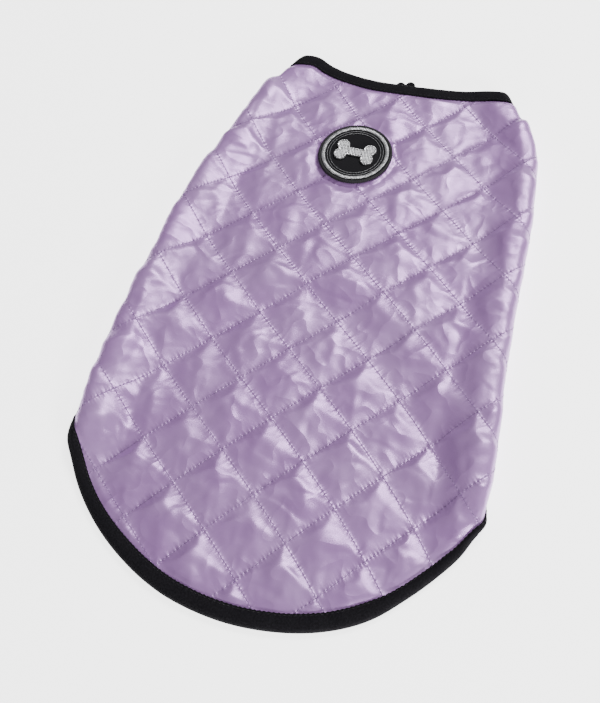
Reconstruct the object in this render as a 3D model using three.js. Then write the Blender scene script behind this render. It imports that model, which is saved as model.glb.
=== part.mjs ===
// Quilted dog winter coat, laid flat: a tube of quilted cloth with black binding
// round its neck, hem and armholes, and a round badge below the neck.
// Millimetres, +Z up, neck towards +Y, underside on z = 0.
import * as THREE from "three";

// The quilt: square cells sewn at 45 degrees, so a cell stands on its corner.
const quiltSide = 38;
const quiltPitch = quiltSide * Math.SQRT2;
const quiltCorner = { x: -62.3, y: 125.4 };
const stepsPerCell = 6;
const gridStep = quiltPitch / stepsPerCell;
const puffHeight = 4.3;
const puffFullness = 0.6;
const puffVariety = 0.16;

// The quilting has drifted as the cloth lies, by these x and y for each power of the
// place in decimetres: [power of x, power of y, x drift, y drift].
const quiltDrift = {
  reach: { x: 130, low: -200, high: 215 },
  terms: [
    [0, 0, 0.3, -3.66],
    [0, 1, 0.63, -3.85],
    [0, 2, 1.49, -1.07],
    [0, 3, -0.18, 0.36],
    [1, 0, 1.3, 3.36],
    [1, 1, 0.63, -1.83],
    [1, 2, -1.64, -1.34],
    [2, 0, -0.95, 0.27],
    [2, 1, 0.45, 2.31],
    [3, 0, -1.14, -2.4],
  ],
};

// The wall: half its thickness at a stitch line, and where it lies flat underneath.
const sewnHalf = 1.2;
const flatOutside = 2.8;
const flatInside = 2.2;
const floorMid = flatOutside;
const overLowerMid = 7.2;
const overNeckMid = 8.8;
const overLowerRamp = { from: -32, over: 27 };
const overNeckRamp = { from: 12, over: 23 };
const wallRamp = { from: 11, over: 9 };

// The rolled folds at the two sides.
const foldRadius = 5.7;
const neckFoldRadius = 4.6;
const tailFoldRadius = 1.0;
const foldStretch = 1.23;
const foldOutside = 4.0;
const foldHump = 30;
const tailTaper = { from: -155, over: 40 };
const neckTaper = { from: 170, over: 35 };
const flattenTurn = 1.4;
const foldTurns = [0.5, 1.0, 0, 0.28, 0.75].map((share) => share * Math.PI);

// Binding tape: folded over the cloth's edge.
const tape = 1.3;
const seamGap = 0.3;
const sideSeam = 0.5;
const bindingWidth = 10;
const bindingReach = bindingWidth - seamGap - tape;
const nose = { past: seamGap + tape, shoulder: 0.78, drop: 0.66, tip: 1.1 };

// The two side folds as seen from above, a row for each section.
const sections = [
  { y: 250, left: -50, right: 101 },
  { y: 224, left: -62.5, right: 105 },
  { y: 205, left: -75.5, right: 107.5 },
  { y: 190, left: -84.5, right: 117 },
  { y: 170, left: -93.5, right: 129.2 },
  { y: 150, left: -99.3, right: 136.3 },
  { y: 112, left: -110.5, right: 139.3 },
  { y: 77, left: -119.5, right: 140.3 },
  { y: 30, left: -126, right: 139.2 },
  { y: -30, left: -133.3, right: 138.8 },
  { y: -70, left: -136.2, right: 140.2 },
  { y: -100, left: -136.4, right: 141.2 },
  { y: -130, left: -136, right: 139.5 },
  { y: -250, left: -135, right: 138 },
];

// The cut edge of the tail, from the left fold round to the right fold.
const tailEdge = [
  { x: -164.5, y: -78 },
  { x: -158, y: -96 },
  { x: -151, y: -108.5 },
  { x: -144, y: -118.5 },
  { x: -137.5, y: -127 },
  { x: -131.8, y: -134.8 },
  { x: -126.6, y: -144 },
  { x: -119.2, y: -156.5 },
  { x: -110.3, y: -168.4 },
  { x: -99.7, y: -179.8 },
  { x: -87.6, y: -190.4 },
  { x: -74.1, y: -200 },
  { x: -57.7, y: -209.4 },
  { x: -37.4, y: -217.6 },
  { x: -8, y: -223.6 },
  { x: 18, y: -224.2 },
  { x: 43.5, y: -219.8 },
  { x: 64, y: -212.6 },
  { x: 81.6, y: -203.2 },
  { x: 99, y: -188.6 },
  { x: 113.2, y: -173.2 },
  { x: 124.6, y: -158.6 },
  { x: 131.5, y: -145.5 },
  { x: 137.5, y: -137 },
  { x: 144, y: -129 },
  { x: 151.5, y: -119 },
  { x: 159, y: -104 },
  { x: 166, y: -83 },
];

// The hem's arch underneath, which joins the tail's edge past the folds.
const arch = { x: 2, top: 27, foot: -97, halfWidth: 130, power: 2.4 };
const archJoins = [46, 60, 75, 90, 105];
const archSpan = [-134, -118, -100, -75, -45, 0, 45, 75, 100, 118, 134];

// The neck edge of the upper layer, and the lower scoop of the layer underneath.
const neckTop = [
  { x: -50, y: 221.5 },
  { x: -37, y: 216.2 },
  { x: -24, y: 211 },
  { x: 0, y: 205.5 },
  { x: 30, y: 204 },
  { x: 60, y: 204 },
  { x: 94, y: 205.5 },
];
const neckUnder = { x: 21, y: 199, left: -62, leftRise: 21, right: 105, rightRise: 6 };
const neckJoins = { right: [60, 75, 90], left: [-45, -32, -15] };
const neckSpan = [110, 80, 50, 20, -10, -40, -65];

// Side seams underneath, where the back panel meets the belly panel.
const seams = [
  { y: -10, left: -56, right: 62 },
  { y: 60, left: -60, right: 78 },
  { y: 118, left: -66, right: 88 },
  { y: 160, left: -59, right: 86 },
  { y: 205, left: -36, right: 76 },
  { y: 250, left: -10, right: 64 },
];

// The leg holes in the belly panel.
const armholes = [
  { name: "left", x: -31.5, y: 116 },
  { name: "right", x: 58.5, y: 116 },
];
const armholeHalf = { x: 20, y: 35 };
const bellyGrid = { left: -80, right: 107, low: -5, high: 215, step: 11 };

// The badge, on a flattened round of quilting.
const badge = { x: 1.8, y: 129.5, radius: 27.8, thick: 2.2, pressed: 2.2, margin: 1.5, blend: 7 };
const badgeRing = { inner: 22.9, outer: 25.3, height: 0.8 };
const bone = { length: 31, knob: 5.2, shank: 7.4, spread: 4.4, height: 1.3, tilt: -0.12 };

// The joined ends of the lower neck binding, which show behind the neck.
const bindingEnd = { x: 24.6, y: 201.3, width: 15, length: 14.6, step: 1.4, low: 1.2, high: 4.6 };

// Colours and finishes.
const lilacCloth = new THREE.MeshStandardMaterial({ color: 0xac99b6, roughness: 0.42, metalness: 0 });
const blackTape = new THREE.MeshStandardMaterial({ color: 0x16141a, roughness: 0.8, metalness: 0 });
const blackFelt = new THREE.MeshStandardMaterial({ color: 0x242229, roughness: 0.9, metalness: 0 });
const silverThread = new THREE.MeshStandardMaterial({ color: 0xb4b4ba, roughness: 0.35, metalness: 0.4 });

const mix = (a, b, share) => a + (b - a) * share;

function ease(share) {
  const t = Math.min(1, Math.max(0, share));
  return t * t * (3 - 2 * t);
}

// A column of a table at height y, on a smooth curve through its rows.
function fromTable(rows, column, y) {
  const sorted = rows[0].y > rows.at(-1).y ? [...rows].reverse() : rows;
  const last = sorted.length - 1;
  if (y <= sorted[0].y) return sorted[0][column];
  if (y >= sorted[last].y) return sorted[last][column];
  let k = 0;
  while (sorted[k + 1].y < y) k += 1;
  const slope = (a, b) => (sorted[b][column] - sorted[a][column]) / (sorted[b].y - sorted[a].y);
  const before = slope(Math.max(0, k - 1), k + 1);
  const after = slope(k, Math.min(last, k + 2));
  const span = sorted[k + 1].y - sorted[k].y;
  const t = (y - sorted[k].y) / span;
  const rise = t * t * (3 - 2 * t);
  return (
    mix(sorted[k][column], sorted[k + 1][column], rise) +
    span * (before * t * (1 - t) ** 2 - after * t * t * (1 - t))
  );
}

// The rolled fold's middle radius: smaller at the neck, gone along the tail.
function foldRadiusAt(y) {
  const body = mix(tailFoldRadius, foldRadius, ease((y - tailTaper.from) / tailTaper.over));
  return mix(body, neckFoldRadius, ease((y - neckTaper.from) / neckTaper.over));
}

// Where the section at height y leaves the flat and turns round each fold.
function sectionAt(y) {
  const radius = foldRadiusAt(y);
  return {
    radius,
    arc: radius * foldStretch,
    left: fromTable(sections, "left", y) + radius + foldOutside,
    right: fromTable(sections, "right", y) - radius - foldOutside,
  };
}

// The cloth's own coordinate u of a place underneath, measured round the fold.
function clothUnder(x, y, side) {
  const s = sectionAt(y);
  return side < 0 ? 2 * s.left - x - Math.PI * s.arc : 2 * s.right - x + Math.PI * s.arc;
}

function archAt(x) {
  const share = Math.abs(x - arch.x) / arch.halfWidth;
  return arch.top - (arch.top - arch.foot) * share ** arch.power;
}

function neckUnderAt(x) {
  const left = x < neckUnder.x;
  const reach = left ? neckUnder.x - neckUnder.left : neckUnder.right - neckUnder.x;
  const rise = left ? neckUnder.leftRise : neckUnder.rightRise;
  return neckUnder.y + rise * ((x - neckUnder.x) / reach) ** 2;
}

function smoothLine(points, count) {
  const curve = new THREE.CatmullRomCurve3(
    points.map((p) => new THREE.Vector3(p.x, p.y, 0)),
    false,
    "centripetal",
  );
  return curve.getSpacedPoints(count).map((p) => ({ x: p.x, y: p.y }));
}

// The hem in the cloth's coordinates: up the left arch, round the tail, down the right.
function hemLine() {
  const joins = (side) =>
    archJoins.map((d) => {
      const y = archAt(arch.x + side * d);
      return { x: clothUnder(arch.x + side * d, y, side), y };
    });
  return smoothLine([...joins(-1), ...tailEdge, ...joins(1).reverse()], 220);
}

// The neck in the cloth's coordinates, from the right seam to the left seam.
function neckLine() {
  const joins = (side, places) =>
    places.map((x) => ({ x: clothUnder(x, neckUnderAt(x), side), y: neckUnderAt(x) }));
  return smoothLine(
    [...joins(1, neckJoins.right), ...[...neckTop].reverse(), ...joins(-1, neckJoins.left)],
    120,
  );
}

const hem = hemLine();
const neck = neckLine();
const archLine = smoothLine(archSpan.map((d) => ({ x: arch.x + d, y: archAt(arch.x + d) })), 80);
const neckUnderLine = smoothLine(neckSpan.map((x) => ({ x, y: neckUnderAt(x) })), 40);

// Signed distance to a line of points, positive on its left.
function distanceTo(line, x, y) {
  let best = Infinity;
  let sign = 1;
  for (let k = 0; k + 1 < line.length; k += 1) {
    const a = line[k];
    const dx = line[k + 1].x - a.x;
    const dy = line[k + 1].y - a.y;
    const along = ((x - a.x) * dx + (y - a.y) * dy) / (dx * dx + dy * dy);
    const t = Math.min(1, Math.max(0, along));
    const gap = Math.hypot(x - a.x - t * dx, y - a.y - t * dy);
    if (gap < best - 1e-9) {
      best = gap;
      sign = dx * (y - a.y) - dy * (x - a.x) >= 0 ? 1 : -1;
    }
  }
  return sign * best;
}

// Height of the middle of the upper layer, which rides over the layer underneath.
function upperMid(x, y, s) {
  const overLower = ease((distanceTo(archLine, x, y) - overLowerRamp.from) / overLowerRamp.over);
  const overNeck = 1 - ease((distanceTo(neck, x, y) - overNeckRamp.from) / overNeckRamp.over);
  const base = mix(mix(floorMid, overLowerMid, overLower), overNeckMid, overNeck);
  const toFold = Math.min(x - s.left, s.right - x);
  const hump = toFold < foldHump ? 0.5 + 0.5 * Math.cos((Math.PI * toFold) / foldHump) : 0;
  return mix(base, floorMid + 2 * s.radius, hump);
}

// The middle of the back panel's wall at the cloth's place u, v.
function backMid(u, v) {
  const s = sectionAt(v);
  if (u >= s.left && u <= s.right) return new THREE.Vector3(u, v, upperMid(u, v, s));
  const side = u < s.left ? -1 : 1;
  const centre = side < 0 ? s.left : s.right;
  const past = (u - centre) * side;
  const turn = past / s.arc;
  if (turn >= Math.PI) return new THREE.Vector3(centre - side * (past - Math.PI * s.arc), v, floorMid);
  return new THREE.Vector3(
    centre + side * s.radius * Math.sin(turn),
    v,
    floorMid + s.radius * (1 + Math.cos(turn)),
  );
}

// How far round the fold a place lies: 0 on top, 1 underneath.
function underShare(u, v) {
  const s = sectionAt(v);
  const past = Math.max(s.left - u, u - s.right, 0);
  return ease((past / s.arc - flattenTurn) / (Math.PI - flattenTurn));
}

// Distance outside the pressed round that the badge is sewn on.
const toBadge = (u, v) => Math.hypot(u - badge.x, v - badge.y) - badge.radius - badge.margin;

// How far the quilting at a place of the even grid has drifted.
function driftAt(x, y) {
  const { reach, terms } = quiltDrift;
  const s = THREE.MathUtils.clamp(x, -reach.x, reach.x) / 100;
  const t = THREE.MathUtils.clamp(y, reach.low, reach.high) / 100;
  const drift = { x: 0, y: 0 };
  for (const [i, j, dx, dy] of terms) {
    drift.x += dx * s ** i * t ** j;
    drift.y += dy * s ** i * t ** j;
  }
  return drift;
}

// A cell's puff: none on its four stitch lines, full at its middle.
function puffAt(u, v) {
  let even = { x: u, y: v };
  for (let k = 0; k < 6; k += 1) {
    const drift = driftAt(even.x, even.y);
    even = { x: u - drift.x, y: v - drift.y };
  }
  const a = (even.x - quiltCorner.x + even.y - quiltCorner.y) / quiltPitch;
  const b = (even.x - quiltCorner.x - even.y + quiltCorner.y) / quiltPitch;
  const own = 1 + puffVariety * Math.sin(2.3 * Math.floor(a) + 3.7 * Math.floor(b));
  const dome = Math.abs(Math.sin(Math.PI * a) * Math.sin(Math.PI * b)) ** puffFullness;
  return mix(badge.pressed, puffHeight * own * dome, ease(toBadge(u, v) / badge.blend));
}

// How free the wadding is: pressed flat under the binding, full a little way in.
const freeAt = (toEdge) => ease((toEdge - wallRamp.from) / wallRamp.over);

// Outside and inside of the back panel's wall, measured from its middle.
function backWall(u, v) {
  const free = freeAt(Math.min(distanceTo(hem, u, v), distanceTo(neck, u, v)));
  const under = underShare(u, v);
  const flatOut = mix(sewnHalf, flatOutside, free);
  const flatIn = mix(sewnHalf, flatInside, free);
  return {
    outside: mix(sewnHalf + puffAt(u, v) * free, flatOut, under),
    inside: mix(sewnHalf, flatIn, under),
  };
}

// The belly panel lies flat underneath, so its middle is level.
function bellyMid(x, y) {
  return new THREE.Vector3(x, y, floorMid);
}

function toArmhole(hole, x, y) {
  const dx = x - hole.x;
  const dy = y - hole.y;
  const reach = Math.hypot(dx, dy);
  const round = Math.hypot(dx / armholeHalf.x, dy / armholeHalf.y);
  if (reach < 1e-6) return -armholeHalf.x;
  return (reach * (round - 1)) / round;
}

function bellyWall(x, y) {
  const toHoles = armholes.map((hole) => toArmhole(hole, x, y));
  const free = freeAt(Math.min(distanceTo(archLine, x, y), distanceTo(neckUnderLine, x, y), ...toHoles));
  return { outside: -mix(sewnHalf, flatOutside, free), inside: -mix(sewnHalf, flatInside, free) };
}

// A flat pattern of triangles over the quilt's grid. Its diagonals follow the stitch
// lines, and cells past the folds, which lie flat, are twice as large.
function quiltPattern() {
  const fine = { from: -10, to: 24 };
  const rows = { from: -40, to: 14 };
  const outer = { from: -20, to: 34 };
  const pattern = { points: [], triangles: [] };
  const made = new Map();
  const at = (m, n) => {
    const key = m + " " + n;
    if (!made.has(key)) {
      made.set(key, pattern.points.length);
      const even = { x: quiltCorner.x + m * gridStep, y: quiltCorner.y + n * gridStep };
      const drift = driftAt(even.x, even.y);
      pattern.points.push({ u: even.x + drift.x, v: even.y + drift.y, marks: new Set() });
    }
    return made.get(key);
  };
  const offLine = (k) => Math.abs(k - stepsPerCell * Math.round(k / stepsPerCell));
  const add = (a, b, c) => pattern.triangles.push([at(...a), at(...b), at(...c)]);
  for (let n = rows.from; n < rows.to; n += 1)
    for (let m = fine.from; m < fine.to; m += 1)
      if (offLine(m - n) <= offLine(m + n + 1)) {
        add([m, n], [m + 1, n], [m + 1, n + 1]);
        add([m, n], [m + 1, n + 1], [m, n + 1]);
      } else {
        add([m, n], [m + 1, n], [m, n + 1]);
        add([m + 1, n], [m + 1, n + 1], [m, n + 1]);
      }
  for (let n = rows.from; n < rows.to; n += 2) {
    for (let m = outer.from; m < fine.from; m += 2) {
      if (m + 2 === fine.from) {
        add([m, n], [m + 2, n], [m + 2, n + 1]);
        add([m, n], [m + 2, n + 1], [m, n + 2]);
        add([m, n + 2], [m + 2, n + 1], [m + 2, n + 2]);
      } else {
        add([m, n], [m + 2, n], [m + 2, n + 2]);
        add([m, n], [m + 2, n + 2], [m, n + 2]);
      }
    }
    for (let m = fine.to; m < outer.to; m += 2) {
      if (m === fine.to) {
        add([m, n], [m + 2, n], [m, n + 1]);
        add([m, n + 1], [m + 2, n], [m + 2, n + 2]);
        add([m, n + 1], [m + 2, n + 2], [m, n + 2]);
      } else {
        add([m, n], [m + 2, n], [m + 2, n + 2]);
        add([m, n], [m + 2, n + 2], [m, n + 2]);
      }
    }
  }
  return pattern;
}

// A plain flat pattern of squares, each cut in two.
function squarePattern({ left, right, low, high, step }) {
  const pattern = { points: [], triangles: [] };
  const across = Math.ceil((right - left) / step);
  const up = Math.ceil((high - low) / step);
  for (let n = 0; n <= up; n += 1)
    for (let m = 0; m <= across; m += 1)
      pattern.points.push({ u: left + m * step, v: low + n * step, marks: new Set() });
  for (let n = 0; n < up; n += 1)
    for (let m = 0; m < across; m += 1) {
      const a = n * (across + 1) + m;
      const b = a + across + 1;
      if ((m + n) % 2) pattern.triangles.push([a, a + 1, b + 1], [a, b + 1, b]);
      else pattern.triangles.push([a, a + 1, b], [a + 1, b + 1, b]);
    }
  return pattern;
}

// Where the edge from p to q crosses a line, given by its signed distance.
function crossing(p, q, side) {
  let low = 0;
  let high = 1;
  const start = side(p.u, p.v) > 0;
  for (let k = 0; k < 22; k += 1) {
    const t = (low + high) / 2;
    if (side(mix(p.u, q.u, t), mix(p.v, q.v, t)) > 0 === start) low = t;
    else high = t;
  }
  return (low + high) / 2;
}

// A moved point may not shrink a triangle beside it below this share of its area.
const leastArea = 0.3;

function areaOf(points, [a, b, c]) {
  const [p, q, r] = [points[a], points[b], points[c]];
  return ((q.u - p.u) * (r.v - p.v) - (r.u - p.u) * (q.v - p.v)) / 2;
}

const hasAll = (marks, wanted) => [...wanted].every((mark) => marks.has(mark));

// Splits a pattern along a line, so that its edges follow it. Points near the line
// move onto it, and the pattern keeps only the positive side when trim is set.
function splitAlong(pattern, side, mark, { trim = false, near = 0.3 } = {}) {
  const { points, triangles } = pattern;
  const value = points.map((p) => side(p.u, p.v));
  const edges = new Map();
  for (const t of triangles)
    for (let k = 0; k < 3; k += 1) {
      const a = Math.min(t[k], t[(k + 1) % 3]);
      const b = Math.max(t[k], t[(k + 1) % 3]);
      edges.set(a + " " + b, [a, b]);
    }
  const moves = new Map();
  const offer = (from, to, share) => {
    if (!hasAll(points[to].marks, points[from].marks)) return;
    const reach = share * Math.hypot(points[to].u - points[from].u, points[to].v - points[from].v);
    if (!moves.has(from) || moves.get(from).reach > reach) moves.set(from, { to, share, reach });
  };
  for (const [a, b] of edges.values()) {
    if (value[a] * value[b] >= 0) continue;
    const t = crossing(points[a], points[b], side);
    if (t < near) offer(a, b, t);
    if (t > 1 - near) offer(b, a, 1 - t);
  }
  const around = new Map();
  for (const t of triangles)
    for (const k of t) if (moves.has(k)) around.set(k, [...(around.get(k) ?? []), t]);
  for (const [from, { to, share }] of moves) {
    const before = { u: points[from].u, v: points[from].v };
    const goal = points[to];
    const areas = around.get(from).map((t) => areaOf(points, t));
    const place = { u: mix(before.u, goal.u, share), v: mix(before.v, goal.v, share) };
    Object.assign(points[from], place);
    const open = around.get(from).every((t, k) => areaOf(points, t) > leastArea * areas[k]);
    if (open && Math.abs(side(place.u, place.v)) < 1e-3) {
      points[from].marks.add(mark);
      value[from] = 0;
    } else Object.assign(points[from], before);
  }
  const cuts = new Map();
  const cut = (a, b) => {
    const key = Math.min(a, b) + " " + Math.max(a, b);
    if (!cuts.has(key)) {
      const [p, q] = [points[Math.min(a, b)], points[Math.max(a, b)]];
      const t = crossing(p, q, side);
      cuts.set(key, points.length);
      const marks = new Set([...p.marks].filter((m) => q.marks.has(m)));
      marks.add(mark);
      points.push({ u: mix(p.u, q.u, t), v: mix(p.v, q.v, t), marks });
      value.push(0);
    }
    return cuts.get(key);
  };
  const kept = [];
  const keep = (a, b, c) => {
    const lead = [value[a], value[b], value[c]].reduce((x, y) => (Math.abs(y) > Math.abs(x) ? y : x), 0);
    const middle = side(
      (points[a].u + points[b].u + points[c].u) / 3,
      (points[a].v + points[b].v + points[c].v) / 3,
    );
    if (!trim || (lead === 0 ? middle : lead) > 0) kept.push([a, b, c]);
  };
  for (const t of triangles) {
    const signs = t.map((k) => Math.sign(value[k]));
    const low = signs.filter((s) => s < 0).length;
    const high = signs.filter((s) => s > 0).length;
    if (!low || !high) {
      keep(...t);
      continue;
    }
    // Turned so that the first corner is the one that lies alone.
    const lone = low === 1 && high === 1 ? signs.indexOf(0) : signs.indexOf(low === 1 ? -1 : 1);
    const [a, b, c] = [t[lone], t[(lone + 1) % 3], t[(lone + 2) % 3]];
    if (signs[lone] === 0) {
      const x = cut(b, c);
      keep(a, b, x);
      keep(a, x, c);
      continue;
    }
    const x = cut(a, b);
    const y = cut(a, c);
    keep(a, x, y);
    const toC = Math.hypot(points[x].u - points[c].u, points[x].v - points[c].v);
    const toB = Math.hypot(points[y].u - points[b].u, points[y].v - points[b].v);
    if (toC < toB) {
      keep(x, b, c);
      keep(x, c, y);
    } else {
      keep(x, b, y);
      keep(y, b, c);
    }
  }
  return { points, triangles: kept };
}

// The directed edges that only one triangle uses.
function borderOf(triangles) {
  const open = new Map();
  for (const t of triangles)
    for (let k = 0; k < 3; k += 1) {
      const [a, b] = [t[k], t[(k + 1) % 3]];
      if (!open.delete(b + " " + a)) open.set(a + " " + b, [a, b]);
    }
  return [...open.values()];
}

// The middle of the wall and its outward direction at a place.
function frameAt(mid, u, v) {
  const d = 0.4;
  const across = mid(u + d, v).sub(mid(u - d, v));
  const up = mid(u, v + d).sub(mid(u, v - d));
  return { at: mid(u, v), normal: across.cross(up).normalize() };
}

class Solid {
  constructor() {
    this.corners = [];
    this.faces = [];
  }
  // Nothing reaches below the surface that the coat lies on.
  point(p) {
    return this.corners.push(p.setZ(Math.max(0, p.z))) - 1;
  }
  tri(a, b, c) {
    this.faces.push(a, b, c);
  }
  geometry() {
    const geometry = new THREE.BufferGeometry();
    const flat = this.corners.flatMap((p) => [p.x, p.y, p.z]);
    geometry.setAttribute("position", new THREE.Float32BufferAttribute(flat, 3));
    geometry.setIndex(this.faces);
    geometry.computeVertexNormals();
    return geometry;
  }
}

// A cloth wall: the pattern's points moved out and in from its middle.
function clothWall(pattern, mid, wall, outwards = 1) {
  const solid = new Solid();
  const ids = new Map();
  for (const k of new Set(pattern.triangles.flat())) {
    const { u, v } = pattern.points[k];
    const { at, normal } = frameAt(mid, u, v);
    const { outside, inside } = wall(u, v);
    ids.set(k, {
      top: solid.point(at.clone().addScaledVector(normal, outside)),
      low: solid.point(at.clone().addScaledVector(normal, -inside)),
    });
  }
  const face = (a, b, c) => (outwards > 0 ? solid.tri(a, b, c) : solid.tri(a, c, b));
  for (const [a, b, c] of pattern.triangles) {
    face(ids.get(a).top, ids.get(b).top, ids.get(c).top);
    face(ids.get(a).low, ids.get(c).low, ids.get(b).low);
  }
  for (const [a, b] of borderOf(pattern.triangles)) {
    face(ids.get(b).top, ids.get(a).top, ids.get(a).low);
    face(ids.get(b).top, ids.get(a).low, ids.get(b).low);
  }
  return solid.geometry();
}

// Binding folded over a bound edge: a leaf on each side of the cloth and a rounded nose
// past its edge, all made from the panel's points within the tape's reach.
function bindingOn(pattern, mid, wall, distance, mark, outwards = 1) {
  const strip = pattern.triangles.filter(([a, b, c]) => {
    const u = (pattern.points[a].u + pattern.points[b].u + pattern.points[c].u) / 3;
    const v = (pattern.points[a].v + pattern.points[b].v + pattern.points[c].v) / 3;
    return distance(u, v) < bindingReach;
  });
  const border = borderOf(strip);
  const onEdge = (k) => pattern.points[k].marks.has(mark);
  const edge = border.filter(([a, b]) => onEdge(a) && onEdge(b));
  const edgePoints = new Set(edge.flat());
  const solid = new Solid();
  const ids = new Map();
  for (const k of new Set(strip.flat())) {
    const { u, v } = pattern.points[k];
    const { at, normal } = frameAt(mid, u, v);
    const { outside, inside } = wall(u, v);
    const outer = Math.abs(outside);
    const inner = Math.abs(inside);
    const out = new THREE.Vector3();
    if (edgePoints.has(k)) {
      const d = 0.3;
      const eu = (distance(u - d, v) - distance(u + d, v)) / (2 * d);
      const ev = (distance(u, v - d) - distance(u, v + d)) / (2 * d);
      const along = mid(u - ev, v + eu).sub(mid(u + ev, v - eu));
      out.crossVectors(along, normal).normalize();
      if (out.dot(mid(u + eu, v + ev).sub(at)) < 0) out.negate();
    }
    const place = (past, off) =>
      solid.point(
        at.clone().addScaledVector(normal, off * outwards).addScaledVector(out, edgePoints.has(k) ? past : 0),
      );
    const id = {
      top: place(seamGap, outer + seamGap + tape),
      topLow: place(seamGap, outer + seamGap),
      lowTop: place(seamGap, -inner - seamGap),
      low: place(seamGap, -inner - seamGap - tape),
    };
    if (edgePoints.has(k)) {
      const { past, shoulder, drop, tip } = nose;
      id.nose = [
        id.top,
        place(past * shoulder, (outer + past) * drop),
        place(past * tip, (outer - inner) / 2),
        place(past * shoulder, -(inner + past) * drop),
        id.low,
      ];
    }
    ids.set(k, id);
  }
  const face = (a, b, c) => (outwards > 0 ? solid.tri(a, b, c) : solid.tri(a, c, b));
  const four = (a, b, c, d) => {
    face(a, b, c);
    face(a, c, d);
  };
  for (const [a, b, c] of strip) {
    const [p, q, r] = [ids.get(a), ids.get(b), ids.get(c)];
    face(p.top, q.top, r.top);
    face(p.topLow, r.topLow, q.topLow);
    face(p.lowTop, q.lowTop, r.lowTop);
    face(p.low, r.low, q.low);
  }
  const edgeKeys = new Set(edge.map((e) => e.join(" ")));
  for (const [a, b] of border) {
    const [p, q] = [ids.get(a), ids.get(b)];
    if (edgeKeys.has(a + " " + b)) {
      for (let k = 0; k < 4; k += 1) four(q.nose[k], p.nose[k], p.nose[k + 1], q.nose[k + 1]);
      // Cut along the same diagonal as the cloth's own edge, which it faces.
      face(p.topLow, q.topLow, p.lowTop);
      face(q.topLow, q.lowTop, p.lowTop);
    } else {
      four(q.top, p.top, p.topLow, q.topLow);
      four(q.lowTop, p.lowTop, p.low, q.low);
    }
  }
  // The two ends of a binding that isn't a ring.
  const starts = new Set(edge.map(([a]) => a));
  const ends = new Set(edge.map(([, b]) => b));
  const capFace = (id, flip) => {
    const [top, upper, tip, lower, low] = id.nose;
    const fan = [[lower, low], [low, id.lowTop], [id.lowTop, id.topLow], [id.topLow, top], [top, upper]];
    for (const [x, y] of fan) {
      if (flip) face(tip, y, x);
      else face(tip, x, y);
    }
  };
  for (const k of edgePoints) {
    if (ends.has(k) && !starts.has(k)) capFace(ids.get(k), false);
    if (starts.has(k) && !ends.has(k)) capFace(ids.get(k), true);
  }
  return solid.geometry();
}

const coat = new THREE.Group();
coat.name = "dog_winter_coat";

function addMesh(name, geometry, material) {
  const mesh = new THREE.Mesh(geometry, material);
  mesh.name = name;
  coat.add(mesh);
  return mesh;
}

function buildBack() {
  const toHem = (u, v) => distanceTo(hem, u, v);
  const toNeck = (u, v) => distanceTo(neck, u, v);
  const seamU = (v, column, side) => clothUnder(fromTable(seams, column, v) + (side * sideSeam) / 2, v, side);
  let pattern = quiltPattern();
  pattern = splitAlong(pattern, (u, v) => u - seamU(v, "left", -1), "left seam", { trim: true });
  pattern = splitAlong(pattern, (u, v) => seamU(v, "right", 1) - u, "right seam", { trim: true });
  pattern = splitAlong(pattern, toHem, "hem", { trim: true });
  pattern = splitAlong(pattern, toNeck, "neck", { trim: true });
  pattern = splitAlong(pattern, (u, v) => toHem(u, v) - bindingReach, "hem tape");
  pattern = splitAlong(pattern, (u, v) => toNeck(u, v) - bindingReach, "neck tape");
  pattern = splitAlong(pattern, toBadge, "badge");
  for (const turn of foldTurns) {
    const left = (u, v) => u - sectionAt(v).left + turn * sectionAt(v).arc;
    const right = (u, v) => sectionAt(v).right + turn * sectionAt(v).arc - u;
    pattern = splitAlong(pattern, left, "left fold " + turn);
    pattern = splitAlong(pattern, right, "right fold " + turn);
  }
  addMesh("back_panel", clothWall(pattern, backMid, backWall), lilacCloth);
  addMesh("hem_binding_back", bindingOn(pattern, backMid, backWall, toHem, "hem"), blackTape);
  addMesh("neck_binding_back", bindingOn(pattern, backMid, backWall, toNeck, "neck"), blackTape);
}

function buildBelly() {
  const toHem = (x, y) => distanceTo(archLine, x, y);
  const toNeck = (x, y) => distanceTo(neckUnderLine, x, y);
  const seamX = (y, column, side) => fromTable(seams, column, y) - (side * sideSeam) / 2;
  let pattern = squarePattern(bellyGrid);
  pattern = splitAlong(pattern, (x, y) => x - seamX(y, "left", -1), "left seam", { trim: true });
  pattern = splitAlong(pattern, (x, y) => seamX(y, "right", 1) - x, "right seam", { trim: true });
  pattern = splitAlong(pattern, toHem, "hem", { trim: true });
  pattern = splitAlong(pattern, toNeck, "neck", { trim: true });
  for (const hole of armholes)
    pattern = splitAlong(pattern, (x, y) => toArmhole(hole, x, y), hole.name, { trim: true });
  pattern = splitAlong(pattern, (x, y) => toHem(x, y) - bindingReach, "hem tape");
  pattern = splitAlong(pattern, (x, y) => toNeck(x, y) - bindingReach, "neck tape");
  for (const hole of armholes)
    pattern = splitAlong(pattern, (x, y) => toArmhole(hole, x, y) - bindingReach, hole.name + " tape");
  addMesh("belly_panel", clothWall(pattern, bellyMid, bellyWall, -1), lilacCloth);
  addMesh("hem_binding_belly", bindingOn(pattern, bellyMid, bellyWall, toHem, "hem", -1), blackTape);
  addMesh("neck_binding_belly", bindingOn(pattern, bellyMid, bellyWall, toNeck, "neck", -1), blackTape);
  for (const hole of armholes)
    addMesh(
      "armhole_binding_" + hole.name,
      bindingOn(pattern, bellyMid, bellyWall, (x, y) => toArmhole(hole, x, y), hole.name, -1),
      blackTape,
    );
}

// A flat ring or disc turned about the badge's axis, from its half section.
function turned(profile, height) {
  const geometry = new THREE.LatheGeometry(profile.map(([r, z]) => new THREE.Vector2(r, z)), 48);
  geometry.rotateX(Math.PI / 2);
  geometry.translate(badge.x, badge.y, height);
  return geometry;
}

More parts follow.
